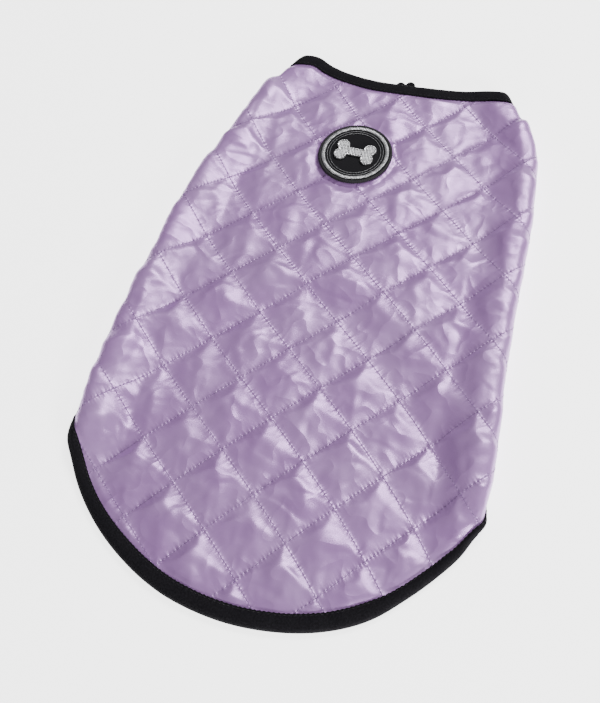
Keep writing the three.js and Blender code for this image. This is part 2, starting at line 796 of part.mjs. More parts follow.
function boneShape() {
  const shape = new THREE.Shape();
  const half = bone.length / 2 - bone.knob;
  const knob = (x, y, from, to) => shape.absarc(x, y, bone.knob, from, to, false);
  const neckAngle = Math.asin((bone.spread - bone.shank / 2) / bone.knob);
  const meetAngle = Math.asin(bone.spread / bone.knob);
  knob(half, -bone.spread, Math.PI - neckAngle, 2 * Math.PI + meetAngle);
  knob(half, bone.spread, -meetAngle, Math.PI + neckAngle);
  knob(-half, bone.spread, -neckAngle, Math.PI + meetAngle);
  knob(-half, -bone.spread, Math.PI - meetAngle, 2 * Math.PI + neckAngle);
  return shape;
}

function buildBadge() {
  const seat = overLowerMid + sewnHalf + badge.pressed + seamGap;
  const { radius, thick } = badge;
  const disc = [
    [0, 0],
    [radius - 1, 0],
    [radius, thick * 0.5],
    [radius - 0.8, thick],
    [radius - 3, thick],
    [0, thick],
  ];
  addMesh("badge_base", turned(disc, seat), blackFelt);
  const { inner, outer, height } = badgeRing;
  const raised = seat + thick + seamGap;
  const ring = [
    [inner, 0],
    [outer, 0],
    [outer - 0.4, height],
    [inner + 0.4, height],
    [inner, 0],
  ];
  addMesh("badge_ring", turned(ring, raised), silverThread);
  const geometry = new THREE.ExtrudeGeometry(boneShape(), {
    depth: bone.height,
    bevelEnabled: false,
    curveSegments: 8,
  });
  geometry.rotateZ(bone.tilt);
  geometry.translate(badge.x, badge.y, raised);
  addMesh("badge_bone", geometry, silverThread);
}

// Two rounded loops of tape, side by side, behind the neck binding.
function buildBindingEnd() {
  const { x, y, width, length, step, low, high } = bindingEnd;
  const shape = new THREE.Shape();
  const quarter = width / 4;
  shape.moveTo(x - width / 2, y);
  shape.lineTo(x + width / 2, y);
  shape.lineTo(x + width / 2, y + length - quarter);
  shape.absarc(x + quarter, y + length - quarter, quarter, 0, Math.PI * 0.85, false);
  shape.absarc(x - quarter, y + length - quarter - step, quarter, Math.PI * 0.15, Math.PI, false);
  const geometry = new THREE.ExtrudeGeometry(shape, {
    depth: high - low,
    bevelEnabled: false,
    curveSegments: 6,
  });
  geometry.translate(0, 0, low);
  addMesh("neck_binding_end", geometry, blackTape);
}

buildBack();
buildBelly();
buildBadge();
buildBindingEnd();

// The part stands centred over the middle of its own box.
const box = new THREE.Box3().setFromObject(coat);
const centre = box.getCenter(new THREE.Vector3());
coat.position.set(-centre.x, -centre.y, 0);

export default coat;
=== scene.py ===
# Quilted dog winter coat laid flat: a puffed satin back, black binding and a round badge.
# The frame gives the place, and the sizes below are the coat's own, in millimetres.
import math

import bpy
import bmesh
import numpy as np
from mathutils import Matrix, Vector


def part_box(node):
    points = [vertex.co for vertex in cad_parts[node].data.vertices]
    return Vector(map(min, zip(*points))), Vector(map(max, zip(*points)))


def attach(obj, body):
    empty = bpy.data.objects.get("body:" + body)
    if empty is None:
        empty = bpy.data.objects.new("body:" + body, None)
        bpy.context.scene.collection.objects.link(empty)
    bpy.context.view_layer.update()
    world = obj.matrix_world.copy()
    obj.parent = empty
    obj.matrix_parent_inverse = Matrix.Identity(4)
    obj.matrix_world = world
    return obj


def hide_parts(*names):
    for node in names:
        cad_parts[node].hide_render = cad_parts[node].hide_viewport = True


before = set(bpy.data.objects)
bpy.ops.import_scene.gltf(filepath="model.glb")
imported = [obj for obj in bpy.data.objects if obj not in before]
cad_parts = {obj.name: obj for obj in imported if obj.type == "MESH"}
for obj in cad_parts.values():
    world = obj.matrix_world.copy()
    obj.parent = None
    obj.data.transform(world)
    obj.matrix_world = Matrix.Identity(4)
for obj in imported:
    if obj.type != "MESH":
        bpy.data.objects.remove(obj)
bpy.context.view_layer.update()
print("frame loaded:", sorted(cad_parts))

mm = 0.001

coat = {
    "quiltSide": 38.0,
    "quiltCorner": (-62.3, 125.4),
    "badgeCentre": (1.8, 129.5),
    "badgeRadius": 27.8,
    "sewnHalf": 1.2,
    "flatOutside": 2.8,
    "flatInside": 2.2,
    "overLower": 7.2,
    "overNeck": 8.8,
    "foldRadius": 5.7,
    "neckFoldRadius": 4.6,
    "tailFoldRadius": 1.0,
    "foldStretch": 1.23,
    "foldOutside": 4.0,
    "foldHump": 30.0,
    "flattenTurn": 1.4,
    "tapeReach": 8.4,
}
coat["pitch"] = coat["quiltSide"] * math.sqrt(2.0)

# The side folds seen from above: height, left, right.
foldRows = np.array([
    (250, -50, 101), (224, -62.5, 105), (205, -75.5, 107.5), (190, -84.5, 117),
    (170, -93.5, 129.2), (150, -99.3, 136.3), (112, -110.5, 139.3), (77, -119.5, 140.3),
    (30, -126, 139.2), (-30, -133.3, 138.8), (-70, -136.2, 140.2), (-100, -136.4, 141.2),
    (-130, -136, 139.5), (-250, -135, 138),
])[::-1]
seamRows = np.array([
    (-10, -56, 62), (60, -60, 78), (118, -66, 88), (160, -59, 86), (205, -36, 76), (250, -10, 64),
])
tailEdge = [
    (-164.5, -78), (-158, -96), (-151, -108.5), (-144, -118.5), (-137.5, -127),
    (-131.8, -134.8), (-126.6, -144), (-119.2, -156.5),
    (-110.3, -168.4), (-99.7, -179.8), (-87.6, -190.4), (-74.1, -200), (-57.7, -209.4),
    (-37.4, -217.6), (-8, -223.6), (18, -224.2), (43.8, -220.6), (64.7, -213.8), (82.2, -204),
    (99, -188.6), (113.2, -173.2), (124.6, -158.6), (131.5, -145.5), (137.5, -137), (144, -129),
    (151.5, -119), (159, -104), (166, -83),
]
arch = {"x": 2, "top": 27, "foot": -97, "halfWidth": 130, "power": 2.4,
        "joins": (46, 60, 75, 90, 105)}
archSpan = (-134, -118, -100, -75, -45, 0, 45, 75, 100, 118, 134)
neckTop = [(-50, 221.5), (-37, 216.2), (-24, 211), (0, 205.5), (30, 204), (60, 204), (94, 205.5)]
neckUnder = {"x": 21, "y": 199, "left": -62, "leftRise": 21, "right": 105, "rightRise": 6}
legHoles = {"left": (-31.5, 116), "right": (58.5, 116)}
legHoleHalf = (20, 35)

# How far the hem's binding reaches in from its edge as it rolls under at the folds:
# height, left, right.
hemReachRows = np.array([
    (-230, 9.6, 9.6), (-205, 9.2, 8.8), (-192, 8.8, 6.5), (-178, 8.0, 5.8), (-162, 7.2, 4.9),
    (-145, 6.8, 2.6), (-130, 6.6, 2.6), (-112, 7.4, 6.0), (-95, 8.4, 8.4), (-60, 8.4, 8.4),
])

# How the quilting has drifted as the cloth lies: powers of x and y in decimetres, then
# the drift in x and y.
quiltDrift = [
    (0, 0, 0.3, -3.66), (0, 1, 0.63, -3.85), (0, 2, 1.49, -1.07), (0, 3, -0.18, 0.36),
    (1, 0, 1.3, 3.36), (1, 1, 0.63, -1.83), (1, 2, -1.64, -1.34), (2, 0, -0.95, 0.27),
    (2, 1, 0.45, 2.31), (3, 0, -1.14, -2.4),
]
driftReach = {"x": 130, "low": -200, "high": 215}

# The coat's own frame is centred on its box, so the badge's node gives the shift.
badgeLow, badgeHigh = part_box("badge_base")
shift = np.array([
    (badgeLow.x + badgeHigh.x) / 2 / mm - coat["badgeCentre"][0],
    (badgeLow.y + badgeHigh.y) / 2 / mm - coat["badgeCentre"][1],
    0.0,
])


def toMetres(points):
    return (np.asarray(points, float) + shift) * mm


def mix(a, b, share):
    return a + (b - a) * share


def ease(share):
    t = np.clip(share, 0.0, 1.0)
    return t * t * (3 - 2 * t)


# A column of a table at height y, on a smooth curve through its rows.
def fromTable(rows, column, y):
    ys = rows[:, 0]
    values = rows[:, column]
    last = len(ys) - 1
    y = np.clip(y, ys[0], ys[last])
    k = np.clip(np.searchsorted(ys, y, side="left") - 1, 0, last - 1)
    before = np.maximum(k - 1, 0)
    after = np.minimum(k + 2, last)
    slopeIn = (values[k + 1] - values[before]) / (ys[k + 1] - ys[before])
    slopeOut = (values[after] - values[k]) / (ys[after] - ys[k])
    span = ys[k + 1] - ys[k]
    t = (y - ys[k]) / span
    rise = t * t * (3 - 2 * t)
    return (mix(values[k], values[k + 1], rise)
            + span * (slopeIn * t * (1 - t) ** 2 - slopeOut * t * t * (1 - t)))


def foldRadiusAt(y):
    body = mix(coat["tailFoldRadius"], coat["foldRadius"], ease((y + 155) / 40))
    return mix(body, coat["neckFoldRadius"], ease((y - 170) / 35))


def sectionAt(y):
    radius = foldRadiusAt(y)
    left = fromTable(foldRows, 1, y) + radius + coat["foldOutside"]
    right = fromTable(foldRows, 2, y) - radius - coat["foldOutside"]
    return radius, radius * coat["foldStretch"], left, right


# The cloth's own coordinate u of a place underneath, measured round the fold.
def clothUnder(x, y, side):
    radius, arc, left, right = sectionAt(np.asarray(y, float))
    return np.where(side < 0, 2 * left - x - math.pi * arc, 2 * right - x + math.pi * arc)


def archAt(x):
    share = np.abs(x - arch["x"]) / arch["halfWidth"]
    return arch["top"] - (arch["top"] - arch["foot"]) * share ** arch["power"]


def neckUnderAt(x):
    if x < neckUnder["x"]:
        reach, rise = neckUnder["x"] - neckUnder["left"], neckUnder["leftRise"]
    else:
        reach, rise = neckUnder["right"] - neckUnder["x"], neckUnder["rightRise"]
    return neckUnder["y"] + rise * ((x - neckUnder["x"]) / reach) ** 2


# A smooth line through points, spaced evenly.
def smoothLine(points, count):
    p = np.array(points, float)
    p = np.vstack([2 * p[0] - p[1], p, 2 * p[-1] - p[-2]])
    out = []
    for k in range(1, len(p) - 2):
        t = [0.0]
        for a in range(3):
            t.append(t[-1] + np.linalg.norm(p[k + a] - p[k + a - 1]) ** 0.5)
        for s in np.linspace(t[1], t[2], 24, endpoint=False):
            q = [((t[a + 1] - s) * p[k - 1 + a] + (s - t[a]) * p[k + a]) / (t[a + 1] - t[a])
                 for a in range(3)]
            r = [((t[a + 2] - s) * q[a] + (s - t[a]) * q[a + 1]) / (t[a + 2] - t[a])
                 for a in range(2)]
            out.append(((t[2] - s) * r[0] + (s - t[1]) * r[1]) / (t[2] - t[1]))
    out.append(p[-2])
    return evenly(np.array(out), count)


def evenly(line, count):
    steps = np.linalg.norm(np.diff(line, axis=0), axis=1)
    along = np.concatenate([[0], np.cumsum(steps)])
    wanted = np.linspace(0, along[-1], count + 1)
    return np.column_stack([np.interp(wanted, along, line[:, c]) for c in range(line.shape[1])])


def hemLine():
    def joins(side):
        spots = [(arch["x"] + side * d, archAt(arch["x"] + side * d)) for d in arch["joins"]]
        return [(float(clothUnder(x, y, side)), y) for x, y in spots]

    return smoothLine(joins(-1) + tailEdge + joins(1)[::-1], 220)


def neckLine():
    points = [(float(clothUnder(x, neckUnderAt(x), 1)), neckUnderAt(x)) for x in (60, 75, 90)]
    points += neckTop[::-1]
    points += [(float(clothUnder(x, neckUnderAt(x), -1)), neckUnderAt(x)) for x in (-45, -32, -15)]
    return smoothLine(points, 120)


hem = hemLine()
neck = neckLine()
archLine = smoothLine([(arch["x"] + d, archAt(arch["x"] + d)) for d in archSpan], 80)
neckUnderLine = smoothLine([(x, neckUnderAt(x)) for x in (110, 80, 50, 20, -10, -40, -65)], 40)


# Signed distance to a line of points, positive on its left.
def distanceTo(line, x, y):
    x = np.asarray(x, float).ravel()
    y = np.asarray(y, float).ravel()
    a = line[:-1]
    step = np.diff(line, axis=0)
    size = (step ** 2).sum(1)
    out = np.empty(len(x))
    for start in range(0, len(x), 8000):
        part = slice(start, start + 8000)
        px = x[part, None] - a[None, :, 0]
        py = y[part, None] - a[None, :, 1]
        t = np.clip((px * step[:, 0] + py * step[:, 1]) / size, 0, 1)
        gap = np.hypot(px - t * step[:, 0], py - t * step[:, 1])
        k = gap.argmin(1)
        rows = np.arange(len(k))
        turn = step[k, 0] * py[rows, k] - step[k, 1] * px[rows, k]
        out[part] = np.where(turn >= 0, 1, -1) * gap[rows, k]
    return out


# The middle of the back panel's wall at the cloth's places u, v.
def backMid(u, v):
    u = np.asarray(u, float)
    v = np.asarray(v, float)
    radius, arc, left, right = sectionAt(v)
    overLower = ease((distanceTo(archLine, u, v) + 32) / 27)
    overNeck = 1 - ease((distanceTo(neck, u, v) - 12) / 23)
    base = mix(mix(coat["flatOutside"], coat["overLower"], overLower), coat["overNeck"], overNeck)
    toFold = np.minimum(u - left, right - u)
    hump = np.where(toFold < coat["foldHump"],
                    0.5 + 0.5 * np.cos(np.pi * np.clip(toFold, 0, None) / coat["foldHump"]), 0)
    top = mix(base, coat["flatOutside"] + 2 * radius, hump)
    side = np.where(u < left, -1.0, 1.0)
    centre = np.where(u < left, left, right)
    past = (u - centre) * side
    turn = np.clip(past / arc, 0, np.pi)
    flat = np.clip(past - np.pi * arc, 0, None)
    onTop = (u >= left) & (u <= right)
    x = np.where(onTop, u, centre + side * radius * np.sin(turn) - side * flat)
    z = np.where(onTop, top, coat["flatOutside"] + radius * (1 + np.cos(turn)))
    return np.column_stack([x, v, z])


def underShare(u, v):
    radius, arc, left, right = sectionAt(v)
    past = np.maximum(np.maximum(left - u, u - right), 0)
    return ease((past / arc - coat["flattenTurn"]) / (np.pi - coat["flattenTurn"]))


def normalsOf(mid, u, v):
    d = 0.4
    across = mid(u + d, v) - mid(u - d, v)
    up = mid(u, v + d) - mid(u, v - d)
    normal = np.cross(across, up)
    return normal / np.linalg.norm(normal, axis=1)[:, None]


# The belly panel lies flat underneath.
def bellyMid(x, y):
    x = np.asarray(x, float)
    return np.column_stack([x, np.asarray(y, float), np.full_like(x, coat["flatOutside"])])


def driftAt(x, y):
    s = np.clip(x, -driftReach["x"], driftReach["x"]) / 100
    t = np.clip(y, driftReach["low"], driftReach["high"]) / 100
    dx = sum(row[2] * s ** row[0] * t ** row[1] for row in quiltDrift)
    dy = sum(row[3] * s ** row[0] * t ** row[1] for row in quiltDrift)
    return dx, dy


# Where the quilting's place a, b, counted in cells, lies on the cloth.
def quiltPlace(a, b):
    x = coat["quiltCorner"][0] + (a + b) * coat["pitch"] / 2
    y = coat["quiltCorner"][1] + (a - b) * coat["pitch"] / 2
    dx, dy = driftAt(x, y)
    return x + dx, y + dy


def toBadge(u, v):
    return np.hypot(u - coat["badgeCentre"][0], v - coat["badgeCentre"][1])


def toLegHole(name, x, y):
    dx = np.asarray(x, float) - legHoles[name][0]
    dy = np.asarray(y, float) - legHoles[name][1]
    reach = np.maximum(np.hypot(dx, dy), 1e-6)
    turn = np.maximum(np.hypot(dx / legHoleHalf[0], dy / legHoleHalf[1]), 1e-6)
    return reach * (turn - 1) / turn


def seamX(v, side):
    return fromTable(seamRows, 1 if side < 0 else 2, v)


# The side seam in the cloth's own coordinate, with half of the seam's gap.
def seamU(v, side):
    return clothUnder(seamX(v, side) + side * 0.25, v, side)


# Smooth seeded noise in the plane: a few turned sine waves of about one size.
def ripple(u, v, size, seed):
    draw = np.random.default_rng(seed)
    total = np.zeros_like(np.asarray(u, float))
    for k in range(7):
        angle = draw.uniform(0, 2 * np.pi)
        wave = 2 * np.pi / (size * draw.uniform(0.7, 1.4))
        total = total + np.sin(wave * (u * np.cos(angle) + v * np.sin(angle)) + draw.uniform(0, 6.28))
    return total / 7 ** 0.5 / 1.2


def meshObject(name, points, faces, uvMaps=None, edges=()):
    mesh = bpy.data.meshes.new(name)
    mesh.from_pydata(toMetres(points).tolist(), list(edges), faces)
    for mapName, values in (uvMaps or {}).items():
        layer = mesh.uv_layers.new(name=mapName)
        index = np.empty(len(mesh.loops), np.int32)
        mesh.loops.foreach_get("vertex_index", index)
        layer.data.foreach_set("uv", np.asarray(values)[index].astype(np.float32).ravel())
    mesh.polygons.foreach_set("use_smooth", [True] * len(mesh.polygons))
    mesh.update()
    obj = bpy.data.objects.new(name, mesh)
    bpy.context.scene.collection.objects.link(obj)
    return obj


def turnOutwards(obj):
    bm = bmesh.new()
    bm.from_mesh(obj.data)
    bmesh.ops.recalc_face_normals(bm, faces=bm.faces)
    bm.to_mesh(obj.data)
    bm.free()
    obj.data.update()


# A sheet on a grid whose rows follow the stitch lines, cut out in blocks of small squares.
# Each edge is a distance function and the distance at which the sheet ends.
def quiltSheet(per, block, reach, edges):
    span = np.arange(-reach * per, reach * per, block)
    bi, bj = (grid.ravel() for grid in np.meshgrid(span, span, indexing="ij"))
    cu, cv = quiltPlace((bi + block / 2) / per, (bj + block / 2) / per)
    keep = (np.abs(cu) < 250) & (np.abs(cv) < 245)
    for distance, end in edges:
        keep[keep] = distance(cu[keep], cv[keep]) > end
    kept = sorted(zip(bi[keep].tolist(), bj[keep].tolist()))
    keptSet = set(kept)
    index = {}

    def at(i, j):
        return index.setdefault((i, j), len(index))

    fine = [(at(i + m, j + n), at(i + m, j + n + 1), at(i + m + 1, j + n + 1), at(i + m + 1, j + n))
            for i, j in kept for m in range(block) for n in range(block)]
    rim = []
    steps = range(block + 1)
    sides = [(-1, 0, 0, 0, 0, 1), (0, 1, 0, 1, 1, 0), (1, 0, 1, 1, 0, -1), (0, -1, 1, 0, -1, 0)]
    for i, j in kept:
        for di, dj, fromI, fromJ, stepI, stepJ in sides:
            if (i + di * block, j + dj * block) not in keptSet:
                rim.append([index[(i + fromI * block + stepI * k, j + fromJ * block + stepJ * k)]
                            for k in steps])
    keys = np.array(list(index))
    u, v = quiltPlace(keys[:, 0] / per, keys[:, 1] / per)
    onRim = np.zeros(len(keys), bool)
    onRim[np.concatenate(rim)] = True
    r = np.nonzero(onRim)[0]
    # The rim's points move onto the cut edge, and their neighbours settle behind them.
    d = 0.5
    for turn in range(4):
        gaps = np.array([distance(u[r], v[r]) - end for distance, end in edges])
        nearest = np.abs(gaps).argmin(0)
        for k, (distance, end) in enumerate(edges):
            gap = distance(u[r], v[r]) - end
            du = (distance(u[r] + d, v[r]) - distance(u[r] - d, v[r])) / (2 * d)
            dv = (distance(u[r], v[r] + d) - distance(u[r], v[r] - d)) / (2 * d)
            slope = np.maximum(du ** 2 + dv ** 2, 0.3)
            move = (nearest == k) | ((gap < 0) & (gap > -9))
            u[r] -= np.where(move, du * gap / slope, 0)
            v[r] -= np.where(move, dv * gap / slope, 0)
    around = ((1, 0), (-1, 0), (0, 1), (0, -1))
    beside = np.array([[index.get((i + di, j + dj), -1) for di, dj in around] for i, j in index])
    toRim = np.min([distance(u, v) - end for distance, end in edges], axis=0)
    band = (~onRim) & (toRim < 5.5) & (beside >= 0).all(1)
    for turn in range(30):
        u[band] = u[beside[band]].mean(1)
        v[band] = v[beside[band]].mean(1)
    return {"keys": keys, "u": u, "v": v, "fine": fine, "blocks": kept, "rim": rim,
            "onRim": onRim, "index": index, "per": per, "block": block}


# A closed shell: the small squares outside, and one plain square for each block inside.
def closedShell(name, sheet, outer, inner):
    index, block = sheet["index"], sheet["block"]
    count = len(outer)
    corners = sorted({(i + m, j + n) for i, j in sheet["blocks"] for m in (0, block) for n in (0, block)})
    innerAt = {key: count + k for k, key in enumerate(corners)}
    rows = [index[key] for key in corners]
    faces = list(sheet["fine"])
    for i, j in sheet["blocks"]:
        faces.append((innerAt[(i, j)], innerAt[(i + block, j)],
                      innerAt[(i + block, j + block)], innerAt[(i, j + block)]))
    order = list(index)
    for side in sheet["rim"]:
        faces.append(tuple(side[::-1]) + (innerAt[order[side[0]]], innerAt[order[side[-1]]]))
    points = np.vstack([outer, inner[rows]])
    points[:, 2] = np.maximum(points[:, 2], 0)
    every = np.r_[np.arange(count), rows]
    cloth = np.column_stack([sheet["u"][every], sheet["v"][every]]) * mm
    quilt = sheet["keys"][every] / sheet["per"]
    shell = meshObject(name, points, faces, {"cloth": cloth, "quilt": quilt})
    turnOutwards(shell)
    return shell


# The back: puffed squares that the cloth's own slack creases.
backCloth = {
    "perCell": 28,
    "block": 4,
    "edgeIn": 1.2,
    "puff": 2.3,
    "puffFullness": 0.6,
    "pressed": 2.0,
    "bump": 0.8,
    "bumpSize": 21,
    "slackAcross": 0.03,
    "slackAlong": 0.125,
    "slackWander": (1.2, 0.6),
    "wanderSize": (60, 31),
    "hemSlack": 0.04,
    "pull": 7.8,
    "frames": 20,
    "lowest": -4.0,
    "highest": 4.0,
    "crease": 0.65,
    "creaseSizes": (25.0, 12.0),
    "creaseCount": 0.6,
    "creaseStretch": 0.4,
    "creaseTurn": 0.25,
    "gain": 0.22,
    "wadding": 6.3,
    "facets": ((1.8, 3.6), (1.4, 2.8), (0.6, 1.3), (0.55, 1.1)),
    "facetBlend": 8.0,
    "facetWander": 0.12,
    "facetSize": 17.0,
    "foldCalm": 0.75,
    "seed": 7,
}
clothFeel = {
    "quality": 5, "mass": 0.12, "air_damping": 3, "uniform_pressure_force": 5.0,
    "tension_stiffness": 25, "compression_stiffness": 25, "shear_stiffness": 8,
    "bending_stiffness": 0.05, "tension_damping": 6, "compression_damping": 6,
    "shear_damping": 6, "bending_damping": 0.5,
}


def toHem(u, v):
    return distanceTo(hem, u, v)


def toNeck(u, v):
    return distanceTo(neck, u, v)


# Each square's row and column in a table of random draws.
def cellOf(a, b):
    return np.floor(a).astype(int) % 64, np.floor(b).astype(int) % 64


# The wadding's puff in a square: four flat faces, steep along the upper stitch lines and
# gentle along the lower ones, which meet in a soft crest. Each square has its own.
def facets(a, b, u, v):
    c = backCloth
    draw = np.random.default_rng(c["seed"] + 5)
    cell = cellOf(a, b)
    ina, inb = a - np.floor(a), b - np.floor(b)
    total = 0
    for k, ((low, high), reach) in enumerate(zip(c["facets"], (inb, 1 - ina, ina, 1 - inb))):
        steep = draw.uniform(low, high, (64, 64))[cell]
        steep = steep * (1 + c["facetWander"] * ripple(u, v, c["facetSize"], 61 + k))
        total = total + np.maximum(steep * reach, 1e-4) ** -c["facetBlend"]
    return draw.uniform(0.7, 1.15, (64, 64))[cell] * total ** (-1 / c["facetBlend"])


# Sharp creases with one steep side, each square with its own, mostly lying across the coat.
def creases(a, b, u, v, seed, size):
    c = backCloth
    draw = np.random.default_rng(c["seed"] + seed)
    cell = cellOf(a, b)
    turn = draw.normal(c["creaseTurn"], 0.45, (64, 64))[cell]
    phase = draw.uniform(0, 60, (64, 64))[cell]
    strength = draw.uniform(0.25, 1.0, (64, 64))[cell]
    x = (u * np.cos(turn) + v * np.sin(turn)) * c["creaseStretch"] + phase * 3
    y = v * np.cos(turn) - u * np.sin(turn) + phase * 2
    field = ripple(x, y, size, seed) * c["creaseCount"]
    saw = field - np.floor(field)
    return strength * np.where(saw < 0.8, saw / 0.8, (1 - saw) / 0.2)


def hemReach(u, v):
    left = fromTable(hemReachRows, 1, v)
    return np.where(np.asarray(u) < 0, left, fromTable(hemReachRows, 2, v))


# How far a place lies inside the bindings' inner edges, counted from the full reach.
def toBackEdge(u, v):
    return np.minimum(toHem(u, v) + coat["tapeReach"] - hemReach(u, v), toNeck(u, v))


def buildBack():
    c = backCloth
    edges = [(toHem, c["edgeIn"]), (toNeck, c["edgeIn"]),
             (lambda u, v: u - seamU(v, -1), 0.0), (lambda u, v: seamU(v, 1) - u, 0.0)]
    sheet = quiltSheet(c["perCell"], c["block"], 12, edges)
    u, v, keys, per = sheet["u"], sheet["v"], sheet["keys"], c["perCell"]
    print("back sheet:", len(u), "points,", len(sheet["fine"]), "squares")
    a, b = keys[:, 0] / per, keys[:, 1] / per
    mid = backMid(u, v)
    normal = normalsOf(backMid, u, v)
    under = underShare(u, v)
    toEdge = toBackEdge(u, v)
    free = ease((toEdge - 8.4) / 4.5)
    pressed = ease((toBadge(u, v) - coat["badgeRadius"] + 0.5) / 6)
    draw = np.random.default_rng(c["seed"])
    own = draw.uniform(0.75, 1.25, (64, 64))[cellOf(a, b)]
    dome = np.abs(np.sin(np.pi * a) * np.sin(np.pi * b))
    puff = c["puff"] * own * dome ** c["puffFullness"] * free
    bumps = c["bump"] * ripple(u, v, c["bumpSize"], 3) * dome ** c["puffFullness"] * free * pressed
    top = coat["sewnHalf"] + mix(c["pressed"], puff, pressed) + bumps
    flat = mix(coat["sewnHalf"], coat["flatOutside"], free * dome ** 0.25)
    outer = mid + normal * mix(top, flat, under)[:, None]
    inside = mix(coat["sewnHalf"], mix(coat["sewnHalf"], coat["flatInside"], free), under)
    inner = mid - normal * inside[:, None]
    onLine = (keys[:, 0] % per == 0) | (keys[:, 1] % per == 0)
    pinned = onLine | (toEdge < 8.9) | (under > 0.4) | sheet["onRim"]
    pinned |= toBadge(u, v) < coat["badgeRadius"] + 0.8
    outer = settleCloth(sheet, outer, mid, normal, facets(a, b, u, v), pinned)
    big, small = c["creaseSizes"]
    sharp = creases(a, b, u, v, 31, big) + 0.3 * creases(a, b, u, v, 47, small) - 0.6
    outer = outer + normal * (c["crease"] * sharp * dome ** 0.5 * free * pressed * (1 - under))[:, None]
    shell = closedShell("quilted_back", sheet, outer, inner)
    sheet["outer"] = outer
    return shell, sheet


# Lets the cloth settle between its stitch lines. Its rest shape is a little larger than the
# quilting, more along the coat than across it, so it creases as the real satin does.
def settleCloth(sheet, outer, mid, normal, puff, pinned):
    c = backCloth
    u, v = sheet["u"], sheet["v"]
    faces = np.array(sheet["fine"])
    faces = faces[~pinned[faces].all(1)]
    used, packed = np.unique(faces, return_inverse=True)
    obj = meshObject("settling_cloth", outer[used], packed.reshape(faces.shape).tolist())
    pins = obj.vertex_groups.new(name="pins")
    pins.add(np.nonzero(pinned[used])[0].tolist(), 1.0, "REPLACE")
    nearTail = ease((-70 - v) / 90)
    across = c["slackAcross"] + c["hemSlack"] * nearTail
    along = c["slackAlong"] - 0.5 * c["hemSlack"] * nearTail
    restU = u * (1 + across)
    restV = v * (1 + c["slackAlong"]) + (along - c["slackAlong"]) * (v + 70)
    for k, (wander, size) in enumerate(zip(c["slackWander"], c["wanderSize"])):
        restU = restU + wander * ripple(u, v, size, 21 + 2 * k)
        restV = restV + wander * ripple(u, v, size, 22 + 2 * k)
    obj.shape_key_add(name="Basis")
    rest = obj.shape_key_add(name="rest")
    flat = np.column_stack([restU, restV, np.zeros_like(u)])[used] * mm
    rest.data.foreach_set("co", flat.astype(np.float32).ravel())
    cloth = obj.modifiers.new("cloth", "CLOTH")
    cloth.settings.rest_shape_key = rest
    cloth.settings.vertex_group_mass = "pins"
    cloth.settings.use_pressure = True
    for key, value in clothFeel.items():
        setattr(cloth.settings, key, value)
    cloth.collision_settings.use_collision = False
    cloth.point_cache.frame_start = 1
    cloth.point_cache.frame_end = c["frames"]
    scene = bpy.context.scene
    gravity = scene.gravity.copy()
    scene.gravity = (0, c["pull"], 0)
    for step in range(1, c["frames"] + 1):
        scene.frame_set(step)
    graph = bpy.context.evaluated_depsgraph_get()
    settled = obj.evaluated_get(graph)
    co = np.empty(len(used) * 3)
    settled.to_mesh().vertices.foreach_get("co", co)
    settled.to_mesh_clear()
    bpy.data.objects.remove(obj)
    scene.frame_set(1)
    scene.gravity = gravity
    result = outer.copy()
    result[used] = co.reshape(-1, 3) / mm - shift
    rise = ((result - outer) * normal).sum(1)
    print("cloth settled: rise", round(float(rise.min()), 2), "to", round(float(rise.max()), 2))
    beside = ease((toBadge(u, v) - coat["badgeRadius"] - 0.5) / 8)
    capped = np.clip(rise, c["lowest"], mix(0.2, c["highest"], beside))
    result = result + normal * (capped - rise)[:, None]
    # The wadding lifts the cloth evenly, and the puffs calm down round the side folds.
    high = ((result - mid) * normal).sum(1) - coat["sewnHalf"]
    calm = 1 - c["foldCalm"] * ease(1.6 - np.abs(normal[:, 2]) * 2)
    toEdge = ease((toBackEdge(u, v) - 8.4) / 5)
    beside = ease((toBadge(u, v) - coat["badgeRadius"] + 1) / 10)
    puffed = (high * c["gain"] + c["wadding"] * puff * toEdge * beside) * calm
    extra = np.where(pinned, 0, np.maximum(puffed, 0.2 * puff) - high)
    return result + normal * extra[:, None]


quiltedBack, backSheet = buildBack()


# The belly panel underneath: flat on the surface, with shallow sewn lines.
bellyCloth = {"perCell": 16, "block": 2, "edgeIn": 1.2, "cellFullness": 0.2}


def buildBelly():
    c = bellyCloth
    edges = [
        (lambda x, y: distanceTo(archLine, x, y), c["edgeIn"]),
        (lambda x, y: distanceTo(neckUnderLine, x, y), c["edgeIn"]),
        (lambda x, y: x - seamX(y, -1), 0.25),
        (lambda x, y: seamX(y, 1) - x, 0.25),
        (lambda x, y: toLegHole("left", x, y), c["edgeIn"]),
        (lambda x, y: toLegHole("right", x, y), c["edgeIn"]),
    ]
    sheet = quiltSheet(c["perCell"], c["block"], 12, edges)
    x, y = sheet["u"], sheet["v"]
    bound = (edges[0], edges[1], edges[4], edges[5])
    toEdge = np.min([distance(x, y) for distance, end in bound], axis=0)
    free = ease((toEdge - 9.5) / 7)
    a, b = (sheet["keys"] / c["perCell"]).T
    dome = np.abs(np.sin(np.pi * a) * np.sin(np.pi * b)) ** c["cellFullness"]
    mid = bellyMid(x, y)
    down = np.array([0, 0, -1.0])
    outer = mid + down * mix(coat["sewnHalf"], coat["flatOutside"], free * dome)[:, None]
    inner = mid - down * mix(coat["sewnHalf"], coat["flatInside"], free)[:, None]
    sheet["outer"] = outer
    return closedShell("belly_underside", sheet, outer, inner), sheet


bellyPanel, bellySheet = buildBelly()


